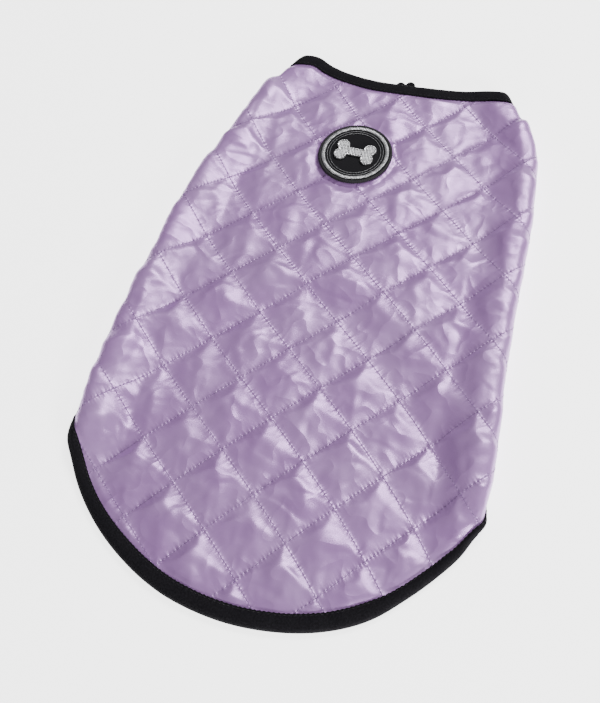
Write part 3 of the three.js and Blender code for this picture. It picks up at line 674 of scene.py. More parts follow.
# Binding: a soft tape folded over a cut edge, pulled in a little at each of its stitches.
tapeLook = {
    "step": 1.1,
    "stitchPitch": 3.1,
    "scallop": 0.28,
    "wall": 1.45,
    "profile": [
        (8.4, 1.45), (8.45, 2.1), (8.05, 2.62), (7.2, 2.5), (6.2, 2.9), (4.6, 3.15), (2.8, 3.2),
        (1.0, 3.0), (-0.4, 2.45), (-1.2, 1.5), (-1.65, 0.0), (-1.2, -1.5), (-0.4, -2.4),
        (1.0, -2.75), (2.8, -2.8), (4.6, -2.8), (6.2, -2.75), (7.2, -2.55), (8.05, -2.6),
        (8.45, -2.1), (8.4, -1.45), (4.0, -1.45), (-0.15, -1.45), (-0.15, 1.45), (4.0, 1.45),
    ],
}


# The faces between rings of points that follow each other, in a loop or with open ends.
def tubeFaces(rows, around, ring=True):
    faces = []
    for k in range(rows if ring else rows - 1):
        here, there = k * around, ((k + 1) % rows) * around
        for m in range(around):
            n = (m + 1) % around
            faces.append((here + m, there + m, there + n, here + n))
    return faces


def sweepTape(name, line, midOf, outwards=1, ring=False, reachOf=None):
    steps = np.linalg.norm(np.diff(line, axis=0), axis=1).sum()
    count = int(round(steps / tapeLook["step"]))
    spots = evenly(line, count)
    if ring:
        spots = spots[:-1]
        tangent = np.roll(spots, -1, 0) - np.roll(spots, 1, 0)
    else:
        tangent = np.gradient(spots, axis=0)
    tangent = tangent / np.linalg.norm(tangent, axis=1)[:, None]
    inward = np.column_stack([-tangent[:, 1], tangent[:, 0]])
    edge = midOf(spots[:, 0], spots[:, 1])
    behind = midOf(*(spots + inward * 0.5).T)
    outDir = edge - behind
    outDir = outDir / np.linalg.norm(outDir, axis=1)[:, None]
    along = np.arange(len(spots)) * steps / count
    pull = np.cos(2 * np.pi * along / tapeLook["stitchPitch"])
    wander = ripple(along, along * 0, 17, 5)
    share = np.ones(len(spots))
    if reachOf is not None:
        share = reachOf(spots[:, 0], spots[:, 1]) / coat["tapeReach"]
    rings = []
    for d, h in tapeLook["profile"]:
        place = spots + inward * (max(d, 0) * share)[:, None]
        at = midOf(place[:, 0], place[:, 1])
        normal = normalsOf(midOf, place[:, 0], place[:, 1]) * outwards
        rise = np.full(len(spots), h)
        top = h > 1.6
        if top and d > 5:
            place = place + inward * (tapeLook["scallop"] * pull)[:, None]
            at = midOf(place[:, 0], place[:, 1])
        if top and 6 < d < 8:
            rise = rise - 0.16 * (pull > 0.6)
        if top:
            rise = rise + 0.12 * wander
        rings.append(at + normal * rise[:, None] + outDir * max(-d, 0))
    around = len(rings)
    points = np.stack(rings, 1).reshape(-1, 3)
    points[:, 2] = np.maximum(points[:, 2], 0)
    rows = len(spots)
    faces = tubeFaces(rows, around, ring)
    if not ring:
        faces.append(tuple(range(around)))
        faces.append(tuple(range((rows - 1) * around, rows * around))[::-1])
    lengthwise = np.repeat(along, around)
    acrossTape = np.tile([p[0] for p in tapeLook["profile"]], rows)
    obj = meshObject(name, points, faces, {"cloth": np.column_stack([lengthwise, acrossTape]) * mm})
    turnOutwards(obj)
    seamPlace = spots + inward * (7.2 * share)[:, None]
    seamTop = midOf(seamPlace[:, 0], seamPlace[:, 1])
    seamTop = seamTop + normalsOf(midOf, seamPlace[:, 0], seamPlace[:, 1]) * outwards * 2.52
    return obj, seamTop


# The part of a line where a side function stays positive.
def between(line, *sides):
    fine = evenly(line, 4000)
    inside = np.all([side(fine[:, 0], fine[:, 1]) > 0.2 for side in sides], axis=0)
    return fine[inside]


def holeLine(name):
    turn = -np.linspace(0, 2 * np.pi, 241)
    x = legHoles[name][0] + legHoleHalf[0] * np.cos(turn)
    y = legHoles[name][1] + legHoleHalf[1] * np.sin(turn)
    return np.column_stack([x, y])


def leftBack(u, v):
    return u - seamU(v, -1)


def rightBack(u, v):
    return seamU(v, 1) - u


def leftBelly(x, y):
    return x - seamX(y, -1) - 0.25


def rightBelly(x, y):
    return seamX(y, 1) - x - 0.25


tapes = {
    "hem_tape_back": (between(hem, leftBack, rightBack), backMid, 1, False, hemReach),
    "neck_tape_back": (between(neck, leftBack, rightBack), backMid),
    "hem_tape_belly": (between(archLine, leftBelly, rightBelly), bellyMid, -1),
    "neck_tape_belly": (between(neckUnderLine, leftBelly, rightBelly), bellyMid, -1),
    "leg_tape_left": (holeLine("left"), bellyMid, -1, True),
    "leg_tape_right": (holeLine("right"), bellyMid, -1, True),
}
tapes = {name: sweepTape(name, *given) for name, given in tapes.items()}
tapeNodes = {
    "hem_tape_back": "hem_binding_back", "neck_tape_back": "neck_binding_back",
    "hem_tape_belly": "hem_binding_belly", "neck_tape_belly": "neck_binding_belly",
    "leg_tape_left": "armhole_binding_left", "leg_tape_right": "armhole_binding_right",
}
print("bindings made:", len(tapes))


# The joined ends of the lower neck binding: two soft loops of tape, side by side.
bindingEnd = {"x": 24.6, "y": 201.3, "width": 15.0, "length": 14.6, "step": 1.4, "low": 1.2, "high": 4.6}


def roundedSlab(name, outline, low, high, soft):
    outline = np.array(outline)
    count = len(outline)
    following = np.roll(outline, -1, 0) - np.roll(outline, 1, 0)
    following = following / np.linalg.norm(following, axis=1)[:, None]
    inward = np.column_stack([-following[:, 1], following[:, 0]])
    x, y = outline.T
    if (x * np.roll(y, -1) - np.roll(x, -1) * y).sum() < 0:
        inward = -inward
    levels = []
    for turn in np.linspace(-np.pi / 2, np.pi / 2, 7):
        ring = outline + inward * soft * (1 - np.cos(turn))
        height = (low + high) / 2 + (high - low) / 2 * np.sin(turn)
        levels.append(np.column_stack([ring, np.full(count, height)]))
    points = np.vstack(levels)
    faces = tubeFaces(len(levels), count, False)
    faces.append(tuple(range(count))[::-1])
    faces.append(tuple(range((len(levels) - 1) * count, len(levels) * count)))
    obj = meshObject(name, points, faces, {"cloth": points[:, :2] * mm})
    turnOutwards(obj)
    return obj


def buildBindingEnd():
    e = bindingEnd
    quarter = e["width"] / 4
    outline = [(e["x"] - e["width"] / 2, e["y"]), (e["x"] + e["width"] / 2, e["y"])]
    for turn in np.linspace(0, np.pi * 0.85, 12):
        outline.append((e["x"] + quarter + quarter * math.cos(turn),
                        e["y"] + e["length"] - quarter + quarter * math.sin(turn)))
    for turn in np.linspace(np.pi * 0.15, np.pi, 12):
        outline.append((e["x"] - quarter + quarter * math.cos(turn),
                        e["y"] + e["length"] - quarter - e["step"] + quarter * math.sin(turn)))
    return roundedSlab("neck_tape_end", outline, e["low"], e["high"], 1.2)


neckTapeEnd = buildBindingEnd()


# The badge: a black woven disc with an overlocked rim, silver rings and a padded silver bone.
badge = {
    "rimTube": 1.25,
    "rimLumps": 120,
    "broadRing": (22.4, 25.2),
    "thinRings": (20.9, 19.0),
    "thinWidth": 0.5,
    "boneLength": 31.0,
    "knob": 5.2,
    "shank": 7.4,
    "spread": 4.4,
    "tilt": -0.12,
}
badgeSeat = badgeLow.z / mm
badgeTop = badgeHigh.z / mm


# A closed ring turned about the badge's middle; its section may be lumpy along the way.
def badgeRing(name, section, around, lumps=0, lumpHeight=0.0, twist=0.0):
    section = np.array(section)
    centre = section.mean(0)
    rows = []
    for k in range(around):
        angle = 2 * np.pi * k / around
        local = section
        if lumps:
            phase = lumps * angle + twist * np.arange(len(section))
            swell = 1 + lumpHeight * np.cos(phase)
            local = centre + (section - centre) * swell[:, None]
        rows.append(np.column_stack([
            coat["badgeCentre"][0] + local[:, 0] * np.cos(angle),
            coat["badgeCentre"][1] + local[:, 0] * np.sin(angle),
            local[:, 1],
        ]))
    size = len(section)
    points = np.vstack(rows)
    turnAngle = np.repeat(np.arange(around) * 2 * np.pi / around, size)
    radial = np.tile(section[:, 0], around)
    cloth = np.column_stack([turnAngle * 24, radial]) * mm
    obj = meshObject(name, points, tubeFaces(around, size), {"cloth": cloth})
    turnOutwards(obj)
    return obj


def ovalSection(inner, outer, low, high, count=12):
    turns = np.linspace(0, 2 * np.pi, count, endpoint=False)
    return [((inner + outer) / 2 + (outer - inner) / 2 * math.cos(t),
             (low + high) / 2 + (high - low) / 2 * math.sin(t)) for t in turns]


def buildBadgeBase():
    radius = coat["badgeRadius"] - 0.9
    profile = [(0.001, badgeSeat), (radius, badgeSeat), (radius, badgeTop - 0.3), (radius - 0.4, badgeTop)]
    for r in np.linspace(radius - 3, 3, 8):
        profile.append((r, badgeTop + 0.12 * math.sin(r)))
    profile.append((0.001, badgeTop))
    return badgeRing("badge_disc", profile, 96)


def boneOutline():
    half = badge["boneLength"] / 2 - badge["knob"]
    knob, spread = badge["knob"], badge["spread"]
    neckAngle = math.asin((spread - badge["shank"] / 2) / knob)
    meetAngle = math.asin(spread / knob)
    arcs = [(half, -spread, math.pi - neckAngle, 2 * math.pi + meetAngle),
            (half, spread, -meetAngle, math.pi + neckAngle),
            (-half, spread, -neckAngle, math.pi + meetAngle),
            (-half, -spread, math.pi - meetAngle, 2 * math.pi + neckAngle)]
    points = []
    for x, y, start, end in arcs:
        for t in np.linspace(start, end, 22):
            points.append((x + knob * math.cos(t), y + knob * math.sin(t)))
    points = np.array(points)
    keep = np.linalg.norm(points - np.roll(points, 1, 0), axis=1) > 0.05
    points = evenly(np.vstack([points[keep], points[keep][:1]]), 150)[:-1]
    c, s = math.cos(badge["tilt"]), math.sin(badge["tilt"])
    return points @ np.array([[c, s], [-s, c]]) + np.array(coat["badgeCentre"])


# Padded satin stitch: a dome over the outline, ribbed by threads laid across the bone.
def buildBone():
    outline = boneOutline()
    low, high = badgeTop + 0.3, badgeTop + 2.1
    step = 0.36
    xs = np.arange(outline[:, 0].min() - 1, outline[:, 0].max() + 1, step)
    ys = np.arange(outline[:, 1].min() - 1, outline[:, 1].max() + 1, step)
    gx, gy = np.meshgrid(xs, ys, indexing="ij")
    closed = np.vstack([outline, outline[:1]])
    inside = distanceTo(closed, gx, gy).reshape(gx.shape)
    keep = inside > 0.25
    cell = keep[:-1, :-1] & keep[1:, :-1] & keep[1:, 1:] & keep[:-1, 1:]
    c, s = math.cos(badge["tilt"]), math.sin(badge["tilt"])
    lengthwise = (gx - coat["badgeCentre"][0]) * c + (gy - coat["badgeCentre"][1]) * s
    rim = np.exp(-((inside - 0.9) / 0.5) ** 2)
    dome = np.sqrt(np.clip(inside / 3.0, 0, 1) * (2 - np.clip(inside / 3.0, 0, 1)))
    height = low + (high - low) * (0.25 + 0.45 * dome + 0.5 * rim)
    height = height + 0.1 * np.sin(2 * np.pi * lengthwise / 0.75) * np.clip(inside, 0, 1)
    return gridSlab("badge_bone_stitched", gx, gy, height, low, cell, inside < 1.7)


# A slab over the kept squares of a grid: a shaped top, a flat bottom and upright sides.
# Squares marked as rim take the object's second finish.
def gridSlab(name, gx, gy, height, low, cell, rim):
    index = {}
    points = []
    faces = []
    finishes = []

    def at(i, j, top):
        key = (i, j, top)
        if key not in index:
            index[key] = len(points)
            points.append((gx[i, j], gy[i, j], height[i, j] if top else low))
        return index[key]

    rows, cols = cell.shape
    for i in range(rows):
        for j in range(cols):
            if not cell[i, j]:
                continue
            square = [(i, j), (i + 1, j), (i + 1, j + 1), (i, j + 1)]
            faces.append([at(p, q, True) for p, q in square])
            faces.append([at(p, q, False) for p, q in reversed(square)])
            finishes += [int(rim[i, j])] * 2
            beside = [(i, j - 1), (i + 1, j), (i, j + 1), (i - 1, j)]
            for k, (p, q) in enumerate(beside):
                if 0 <= p < rows and 0 <= q < cols and cell[p, q]:
                    continue
                first, last = square[k], square[(k + 1) % 4]
                faces.append([at(*first, False), at(*last, False), at(*last, True), at(*first, True)])
                finishes.append(1)
    points = np.array(points)
    obj = meshObject(name, points, faces, {"cloth": points[:, :2] * mm})
    obj.data.polygons.foreach_set("material_index", finishes)
    turnOutwards(obj)
    return obj


badgeDisc = buildBadgeBase()
rimRadius = coat["badgeRadius"] - badge["rimTube"]
badgeRim = badgeRing("badge_overlocked_rim",
                     ovalSection(rimRadius - badge["rimTube"], coat["badgeRadius"],
                                 badgeSeat + 0.05, badgeTop + 0.55),
                     480, badge["rimLumps"], 0.07, 0.5)
broadRing = badgeRing("badge_broad_ring", ovalSection(*badge["broadRing"], badgeTop + 0.16, badgeTop + 1.0),
                      600, 150, 0.09, 0.45)
thinRings = [badgeRing("badge_thin_ring_" + str(k + 1),
                       ovalSection(r - badge["thinWidth"] / 2, r + badge["thinWidth"] / 2,
                                   badgeTop + 0.15, badgeTop + 0.6, 8), 360, 72, 0.22, 0.3)
             for k, r in enumerate(badge["thinRings"])]
badgeBone = buildBone()
print("badge made")


# Finishes: puckered satin, soft black tape, woven black cloth and silver thread.
def newMaterial(name):
    material = bpy.data.materials.new(name)
    material.use_nodes = True
    nodes = material.node_tree.nodes
    nodes.clear()
    shader = nodes.new("ShaderNodeBsdfPrincipled")
    output = nodes.new("ShaderNodeOutputMaterial")
    material.node_tree.links.new(shader.outputs["BSDF"], output.inputs["Surface"])
    return material, shader


class Wires:
    def __init__(self, tree):
        self.tree = tree

    def node(self, kind, **settings):
        node = self.tree.nodes.new(kind)
        for key, value in settings.items():
            setattr(node, key, value)
        return node

    def link(self, value, socket):
        if hasattr(value, "is_output"):
            self.tree.links.new(value, socket)
        else:
            socket.default_value = value

    def math(self, operation, a, b=0.0, c=0.0):
        node = self.node("ShaderNodeMath", operation=operation)
        for value, socket in zip((a, b, c), node.inputs):
            self.link(value, socket)
        return node.outputs[0]

    def times(self, a, b):
        return self.math("MULTIPLY", a, b)

    def plus(self, a, b):
        return self.math("ADD", a, b)

    def wave(self, value, pitch):
        return self.math("SINE", self.times(value, pitch))

    def split(self, vector):
        node = self.node("ShaderNodeSeparateXYZ")
        self.link(vector, node.inputs[0])
        return node.outputs

    def noise(self, vector, scale, detail=2.0, roughness=0.5):
        node = self.node("ShaderNodeTexNoise")
        self.link(vector, node.inputs["Vector"])
        node.inputs["Scale"].default_value = scale
        node.inputs["Detail"].default_value = detail
        node.inputs["Roughness"].default_value = roughness
        return node.outputs[0]

    def spread(self, value, fromLow, fromHigh, toLow, toHigh):
        node = self.node("ShaderNodeMapRange")
        for item, socket in zip((value, fromLow, fromHigh, toLow, toHigh), node.inputs):
            self.link(item, socket)
        return node.outputs[0]

    def blend(self, share, a, b):
        node = self.node("ShaderNodeMix", data_type="RGBA")
        self.link(share, node.inputs[0])
        node.inputs[6].default_value = a
        node.inputs[7].default_value = b
        return node.outputs[2]

    def bump(self, height, distance, shader):
        node = self.node("ShaderNodeBump")
        node.inputs["Distance"].default_value = distance
        self.link(height, node.inputs["Height"])
        self.link(node.outputs[0], shader.inputs["Normal"])
        return node


satin = {
    "base": (0.42, 0.215, 0.53, 1),
    "pale": (0.46, 0.255, 0.57, 1),
    "roughness": (0.32, 0.42),
    "metallic": 0.38,
    "specular": 0.9,
    "specularTint": (0.95, 0.85, 1.0, 1),
    "sheen": 0.25,
    "stitchPitch": 2.8,
    "weave": 4200.0,
}


def satinCloth():
    material, shader = newMaterial("lilac_satin")
    w = Wires(material.node_tree)
    cloth = w.node("ShaderNodeUVMap", uv_map="cloth").outputs[0]
    quilt = w.node("ShaderNodeUVMap", uv_map="quilt").outputs[0]
    split = w.split(quilt)
    heights = []
    for across, alongLine in ((0, 1), (1, 0)):
        fraction = w.math("FRACT", split[across])
        toLine = w.times(w.math("MINIMUM", fraction, w.math("SUBTRACT", 1.0, fraction)),
                        coat["quiltSide"])
        near = w.math("EXPONENT", w.times(toLine, -0.55))
        close = w.math("EXPONENT", w.times(toLine, -1.9))
        length = w.times(split[alongLine], coat["quiltSide"])
        wave = w.wave(length, 2 * math.pi / satin["stitchPitch"])
        stretched = w.node("ShaderNodeCombineXYZ")
        w.link(w.times(length, 0.30), stretched.inputs[0])
        w.link(w.times(toLine, 0.07), stretched.inputs[1])
        w.link(w.plus(w.math("FLOOR", w.plus(split[across], 0.5)), across * 37.0),
               stretched.inputs[2])
        folds = w.noise(stretched.outputs[0], 1.0, 1.0)
        heights.append(w.times(w.times(wave, close), 0.16))
        heights.append(w.times(w.times(folds, near), 1.3))
        heights.append(w.times(w.math("EXPONENT", w.times(toLine, -3.0)), -0.35))
    crumple = w.noise(cloth, 48.0, 1.0, 0.5)
    ridged = w.math("ABSOLUTE", w.math("SUBTRACT", crumple, 0.5))
    heights.append(w.times(ridged, -2.2))
    warpWeft = w.split(cloth)
    warp = w.wave(warpWeft[0], satin["weave"] * 2)
    weft = w.wave(warpWeft[1], satin["weave"] * 2)
    heights.append(w.times(w.times(warp, weft), 0.012))
    total = heights[0]
    for height in heights[1:]:
        total = w.plus(total, height)
    w.bump(total, mm, shader)
    tone = w.noise(cloth, 22.0, 3.0)
    w.link(w.blend(w.spread(tone, 0.35, 0.65, 0.0, 1.0), satin["base"], satin["pale"]),
           shader.inputs["Base Color"])
    w.link(w.spread(w.noise(cloth, 45.0, 2.0), 0.3, 0.7, *satin["roughness"]), shader.inputs["Roughness"])
    shader.inputs["Metallic"].default_value = satin["metallic"]
    shader.inputs["Specular IOR Level"].default_value = satin["specular"]
    shader.inputs["Specular Tint"].default_value = satin["specularTint"]
    shader.inputs["Sheen Weight"].default_value = satin["sheen"]
    shader.inputs["Sheen Roughness"].default_value = 0.4
    return material


blackTape = {"base": (0.0045, 0.004, 0.0055, 1), "worn": (0.011, 0.010, 0.013, 1), "rib": 5200.0}


def tapeCloth():
    material, shader = newMaterial("black_tape")
    w = Wires(material.node_tree)
    cloth = w.node("ShaderNodeUVMap", uv_map="cloth").outputs[0]
    split = w.split(cloth)
    rib = w.wave(split[0], blackTape["rib"])
    loops = w.wave(split[1], blackTape["rib"])
    fuzz = w.noise(cloth, 900.0, 2.0)
    slow = w.noise(cloth, 120.0, 2.0)
    height = w.plus(w.times(w.times(rib, loops), 0.05), w.times(fuzz, 0.12))
    height = w.plus(height, w.times(slow, 0.5))
    w.bump(height, mm, shader)
    w.link(w.blend(w.spread(fuzz, 0.35, 0.7, 0.0, 1.0), blackTape["base"], blackTape["worn"]),
           shader.inputs["Base Color"])
    w.link(w.spread(slow, 0.3, 0.7, 0.78, 0.92), shader.inputs["Roughness"])
    shader.inputs["Specular IOR Level"].default_value = 0.12
    return material


twill = {"base": (0.003, 0.0028, 0.004, 1), "thread": (0.013, 0.012, 0.016, 1), "pitch": 3600.0}


def twillCloth():
    material, shader = newMaterial("black_twill")
    w = Wires(material.node_tree)
    cloth = w.node("ShaderNodeTexCoord").outputs["Object"]
    split = w.split(cloth)
    diagonal = w.plus(split[0], split[1])
    rib = w.wave(diagonal, twill["pitch"] * 1.5)
    cross = w.wave(split[0], twill["pitch"] * 3)
    weave = w.times(w.plus(rib, w.times(cross, 0.5)), 0.5)
    fuzz = w.noise(cloth, 1500.0, 2.0)
    w.bump(w.plus(w.times(weave, 0.07), w.times(fuzz, 0.08)), mm, shader)
    w.link(w.blend(w.spread(w.plus(weave, fuzz), 0.3, 1.4, 0.0, 1.0), twill["base"], twill["thread"]),
           shader.inputs["Base Color"])
    w.link(w.spread(fuzz, 0.3, 0.7, 0.75, 0.9), shader.inputs["Roughness"])
    shader.inputs["Specular IOR Level"].default_value = 0.2
    return material


overlock = {"base": (0.003, 0.0028, 0.004, 1), "thread": (0.011, 0.010, 0.013, 1)}


def threadCloth(name, dark, light, roughness, metallic, pitch, useObject=False):
    material, shader = newMaterial(name)
    w = Wires(material.node_tree)
    if useObject:
        cloth = w.node("ShaderNodeTexCoord").outputs["Object"]
    else:
        cloth = w.node("ShaderNodeUVMap", uv_map="cloth").outputs[0]
    split = w.split(cloth)
    slant = w.plus(split[0], w.times(split[1], 0.12))
    strand = w.wave(slant, pitch)
    fuzz = w.noise(cloth, 1300.0, 2.0)
    glints = w.noise(cloth, 420.0, 2.0)
    w.bump(w.plus(w.times(strand, 0.09), w.times(fuzz, 0.10)), mm, shader)
    tone = w.plus(w.times(strand, 0.25), glints)
    w.link(w.blend(w.spread(tone, 0.25, 0.85, 0.0, 1.0), dark, light), shader.inputs["Base Color"])
    w.link(w.spread(glints, 0.3, 0.7, *roughness), shader.inputs["Roughness"])
    shader.inputs["Metallic"].default_value = metallic
    return material


lilacSatin = satinCloth()
blackBinding = tapeCloth()
blackTwill = twillCloth()


def grey(value, blue):
    return (value, value, value + blue, 1)


blackOverlock = threadCloth("black_overlock_thread", overlock["base"], overlock["thread"],
                            (0.6, 0.8), 0.0, 5000.0)
silverThread = threadCloth("silver_thread", grey(0.2, 0.01), grey(0.72, 0.02), (0.26, 0.45), 0.7, 5600.0)
# A lighter, glossier copy of the silver thread for the bone's raised rim and sides: a painted highlight.
silverPaintedHighlight = threadCloth("silver_thread_painted_highlight", grey(0.55, 0.01), grey(0.93, 0.02),
                           (0.2, 0.35), 0.8, 5600.0)
dimThread = threadCloth("dim_silver_thread", grey(0.1, 0.01), grey(0.34, 0.01), (0.3, 0.5), 0.6, 5600.0)
# Lilac quilting thread, darker than the satin: partly the thread's own colour, partly painted shade for the
# shadows between the stitch puckers.
lilacThreadShaded = threadCloth("lilac_thread_painted_shade", (0.20, 0.11, 0.27, 1), (0.40, 0.25, 0.49, 1),
                          (0.4, 0.6), 0.0, 9000.0, True)
blackThread = threadCloth("black_thread", (0.004, 0.004, 0.005, 1), (0.02, 0.018, 0.024, 1),
                          (0.5, 0.7), 0.0, 9000.0, True)
print("finishes made")


# Stitches: a small stitch set along each sewn line by a Geometry Nodes tree.
stitch = {
    "quiltPitch": 2.8,
    "tapePitch": 3.1,
    "length": 2.3,
    "thick": 0.5,
    "sides": 6,
    "turn": 0.12,
    "seed": 4,
}


def stitchTree():
    tree = bpy.data.node_groups.new("stitch_rows", "GeometryNodeTree")
    face = tree.interface
    face.new_socket("Geometry", in_out="INPUT", socket_type="NodeSocketGeometry")
    sockets = {}
    for name, kind in (("Pitch", "NodeSocketFloat"), ("Stitch length", "NodeSocketFloat"),
                       ("Thread thickness", "NodeSocketFloat"), ("Turn", "NodeSocketFloat"),
                       ("Seed", "NodeSocketInt"), ("Material", "NodeSocketMaterial")):
        sockets[name] = face.new_socket(name, in_out="INPUT", socket_type=kind).identifier
    face.new_socket("Geometry", in_out="OUTPUT", socket_type="NodeSocketGeometry")
    w = Wires(tree)
    given = w.node("NodeGroupInput").outputs
    done = w.node("NodeGroupOutput")
    curve = w.node("GeometryNodeMeshToCurve")
    w.link(given["Geometry"], curve.inputs["Mesh"])
    spaced = w.node("GeometryNodeResampleCurve", mode="LENGTH")
    w.link(curve.outputs[0], spaced.inputs["Curve"])
    w.link(given["Pitch"], spaced.inputs["Length"])
    tangent = w.node("GeometryNodeInputTangent")
    aim = w.node("FunctionNodeAlignRotationToVector", axis="Z")
    w.link(tangent.outputs[0], aim.inputs["Vector"])
    wobble = w.node("FunctionNodeRandomValue", data_type="FLOAT_VECTOR")
    low = w.node("ShaderNodeCombineXYZ")
    high = w.node("ShaderNodeCombineXYZ")
    for k in range(3):
        w.link(w.times(given["Turn"], -1.0), low.inputs[k])
        w.link(given["Turn"], high.inputs[k])
    w.link(low.outputs[0], wobble.inputs[0])
    w.link(high.outputs[0], wobble.inputs[1])
    w.link(given["Seed"], wobble.inputs["Seed"])
    turned = w.node("FunctionNodeRotateRotation", rotation_space="LOCAL")
    w.link(aim.outputs[0], turned.inputs[0])
    w.link(wobble.outputs[0], turned.inputs[1])
    bead = w.node("GeometryNodeMeshUVSphere")
    bead.inputs["Segments"].default_value = stitch["sides"]
    bead.inputs["Rings"].default_value = 5
    bead.inputs["Radius"].default_value = 0.5
    shaped = w.node("GeometryNodeTransform")
    w.link(bead.outputs[0], shaped.inputs["Geometry"])
    size = w.node("ShaderNodeCombineXYZ")
    w.link(given["Thread thickness"], size.inputs[0])
    w.link(given["Thread thickness"], size.inputs[1])
    w.link(given["Stitch length"], size.inputs[2])
    w.link(size.outputs[0], shaped.inputs["Scale"])
    placed = w.node("GeometryNodeInstanceOnPoints")
    w.link(spaced.outputs[0], placed.inputs["Points"])
    w.link(shaped.outputs[0], placed.inputs["Instance"])
    w.link(turned.outputs[0], placed.inputs["Rotation"])
    real = w.node("GeometryNodeRealizeInstances")
    w.link(placed.outputs[0], real.inputs["Geometry"])
    painted = w.node("GeometryNodeSetMaterial")
    w.link(real.outputs[0], painted.inputs["Geometry"])
    w.link(given["Material"], painted.inputs["Material"])
    w.link(painted.outputs[0], done.inputs[0])
    return tree, sockets


stitchRows, stitchSockets = stitchTree()


def sewRows(name, rows, pitch, thick, material, length=None):
    points = np.vstack(rows)
    edges = []
    start = 0
    for row in rows:
        edges += [(start + k, start + k + 1) for k in range(len(row) - 1)]
        start += len(row)
    path = meshObject(name + "_path", points, [], edges=edges)
    modifier = path.modifiers.new("stitches", "NODES")
    modifier.node_group = stitchRows
    values = {"Pitch": pitch * mm, "Stitch length": (length or stitch["length"]) * mm,
              "Thread thickness": thick * mm, "Turn": stitch["turn"], "Seed": stitch["seed"],
              "Material": material}
    for key, value in values.items():
        modifier[stitchSockets[key]] = value
    path.update_tag()
    graph = bpy.context.evaluated_depsgraph_get()
    mesh = bpy.data.meshes.new_from_object(path.evaluated_get(graph), depsgraph=graph)
    mesh.name = name
    bpy.data.objects.remove(path)
    obj = bpy.data.objects.new(name, mesh)
    bpy.context.scene.collection.objects.link(obj)
    print(name + ":", len(mesh.polygons), "faces")
    return obj


# The runs of points along the sheet's stitch lines, lifted just clear of the cloth.
def quiltRows(sheet, lift, clearOf):
    keys, index, per = sheet["keys"], sheet["index"], sheet["per"]
    rows = []
    for family in (0, 1):
        lines = np.unique(keys[keys[:, family] % per == 0, family])
        for line in lines:
            onLine = keys[keys[:, family] == line, 1 - family]
            spots = np.sort(onLine)
            run = []
            for spot in list(spots) + [None]:
                key = None if spot is None else ((line, spot) if family == 0 else (spot, line))
                k = None if key is None else index[(int(key[0]), int(key[1]))]
                broken = run and (k is None or spot - last != 1)
                if broken or (k is not None and not clearOf[k]):
                    if len(run) > 2:
                        rows.append(sheet["outer"][run] + lift[run])
                    run = []
                if k is not None and clearOf[k]:
                    run.append(k)
                last = spot
    return rows


def sewBack():
    u, v = backSheet["u"], backSheet["v"]
    clear = (toBackEdge(u, v) > 8.6) & (toBadge(u, v) > coat["badgeRadius"] + 0.5)
    clear &= ~backSheet["onRim"]
    lift = normalsOf(backMid, u, v) * 0.12
    rows = quiltRows(backSheet, lift, clear)
    return sewRows("quilting_stitches_back", rows, stitch["quiltPitch"], stitch["thick"], lilacThreadShaded)


def sewBelly():
    x, y = bellySheet["u"], bellySheet["v"]
    clear = (distanceTo(archLine, x, y) > 8.6) & (distanceTo(neckUnderLine, x, y) > 8.6)
    for name in legHoles:
        clear &= toLegHole(name, x, y) > 8.6
    clear &= ~bellySheet["onRim"]
    lift = np.tile([0, 0, -0.12], (len(x), 1))
    rows = quiltRows(bellySheet, lift, clear)
    return sewRows("quilting_stitches_belly", rows, stitch["quiltPitch"], stitch["thick"], lilacThreadShaded)


backStitches = sewBack()
bellyStitches = sewBelly()
tapeStitches = {name: sewRows(name + "_stitches", [row], stitch["tapePitch"], 0.42, blackThread, 2.0)
                for name, (obj, row) in tapes.items()}


def finish(obj, material, slot, *nodes):
    if material is not None:
        obj.data.materials.append(material)
    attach(obj, "root")
    if nodes:
        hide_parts(*nodes)


finish(quiltedBack, lilacSatin, "quilted_cloth", "back_panel")
finish(bellyPanel, lilacSatin, "quilted_cloth", "belly_panel")
finish(backStitches, None, "quilted_cloth")
finish(bellyStitches, None, "quilted_cloth")
for name, (obj, row) in tapes.items():
    finish(obj, blackBinding, "binding", tapeNodes[name])
    finish(tapeStitches[name], None, "binding")
finish(neckTapeEnd, blackBinding, "binding", "neck_binding_end")
finish(badgeDisc, blackTwill, "badge_cloth", "badge_base")
finish(badgeRim, blackOverlock, "badge_cloth")
finish(broadRing, silverThread, "silver_thread", "badge_ring")
finish(badgeBone, silverThread, "silver_thread", "badge_bone")
# The bone's rim and sides take the silver copy with the painted highlight.
badgeBone.data.materials.append(silverPaintedHighlight)
for ring in thinRings:
    finish(ring, dimThread, "silver_thread")

backTrim = [backStitches, badgeDisc, badgeRim, broadRing, badgeBone, *thinRings]
backTrim += [tapes["hem_tape_back"][0], tapes["neck_tape_back"][0]]
backTrim += [tapeStitches["hem_tape_back"], tapeStitches["neck_tape_back"]]
bellyTrim = [bellyStitches, neckTapeEnd]
for name in ("hem_tape_belly", "neck_tape_belly", "leg_tape_left", "leg_tape_right"):
    bellyTrim += [tapes[name][0], tapeStitches[name]]


def cutSize(sheet):
    width = float(np.ptp(sheet["u"])) * mm
    length = float(np.ptp(sheet["v"])) * mm
    return round(width, 4), round(length, 4)


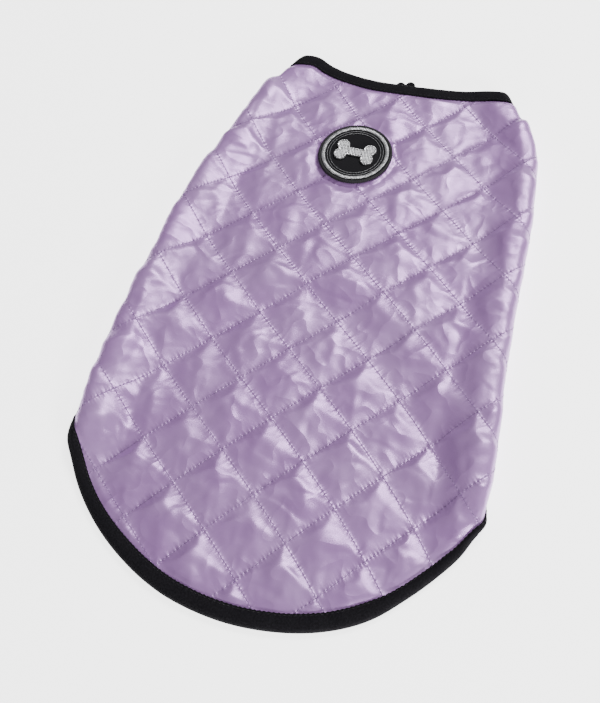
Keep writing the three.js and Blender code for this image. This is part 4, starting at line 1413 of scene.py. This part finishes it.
print("cut sizes", cutSize(backSheet), cutSize(bellySheet))


# A plain pale floor, soft studio light and a camera at the photograph's angle.
floorMaterial, floorShader = newMaterial("pale_floor")
floorShader.inputs["Base Color"].default_value = (0.93, 0.93, 0.93, 1)
floorShader.inputs["Roughness"].default_value = 0.9
floorShader.inputs["Emission Color"].default_value = (1, 1, 1, 1)
floorShader.inputs["Emission Strength"].default_value = 3.0
corners = [(-2500, -2500, 0), (2500, -2500, 0), (2500, 2500, 0), (-2500, 2500, 0)]
floor = meshObject("floor", corners, [(0, 1, 2, 3)])
floor.data.materials.append(floorMaterial)

view = {"place": (127.3, -354.6, 585.7), "right": (0.9684, 0.2343, -0.0859),
        "up": (-0.162, 0.852, 0.4979), "lens": 51.2}
cameraData = bpy.data.cameras.new("camera")
cameraData.lens = view["lens"]
cameraData.sensor_width = 36
cameraData.clip_start = 0.01
camera = bpy.data.objects.new("camera", cameraData)
right = Vector(view["right"]).normalized()
up = Vector(view["up"])
up = (up - right * up.dot(right)).normalized()
turn = Matrix((right, up, right.cross(up))).transposed().to_4x4()
camera.matrix_world = Matrix.Translation(Vector(toMetres([view["place"]])[0])) @ turn
bpy.context.scene.collection.objects.link(camera)
bpy.context.scene.camera = camera


def softLight(name, place, size, power, color=(1, 1, 1), target=(0, 0, 0)):
    data = bpy.data.lights.new(name, "AREA")
    data.shape = "RECTANGLE"
    data.size, data.size_y = size
    data.energy = power
    data.color = color
    obj = bpy.data.objects.new(name, data)
    obj.location = place
    obj.rotation_euler = (Vector(target) - Vector(place)).to_track_quat("-Z", "Y").to_euler()
    bpy.context.scene.collection.objects.link(obj)


softLight("key", (1.0, -1.2, 0.6), (0.6, 0.4), 28)
softLight("right", (0.5, 1.0, 1.5), (0.8, 0.6), 36)
world = bpy.data.worlds.new("pale")
world.use_nodes = True
world.node_tree.nodes["Background"].inputs[0].default_value = (1, 1, 1, 1)
world.node_tree.nodes["Background"].inputs[1].default_value = 0.2
bpy.context.scene.world = world
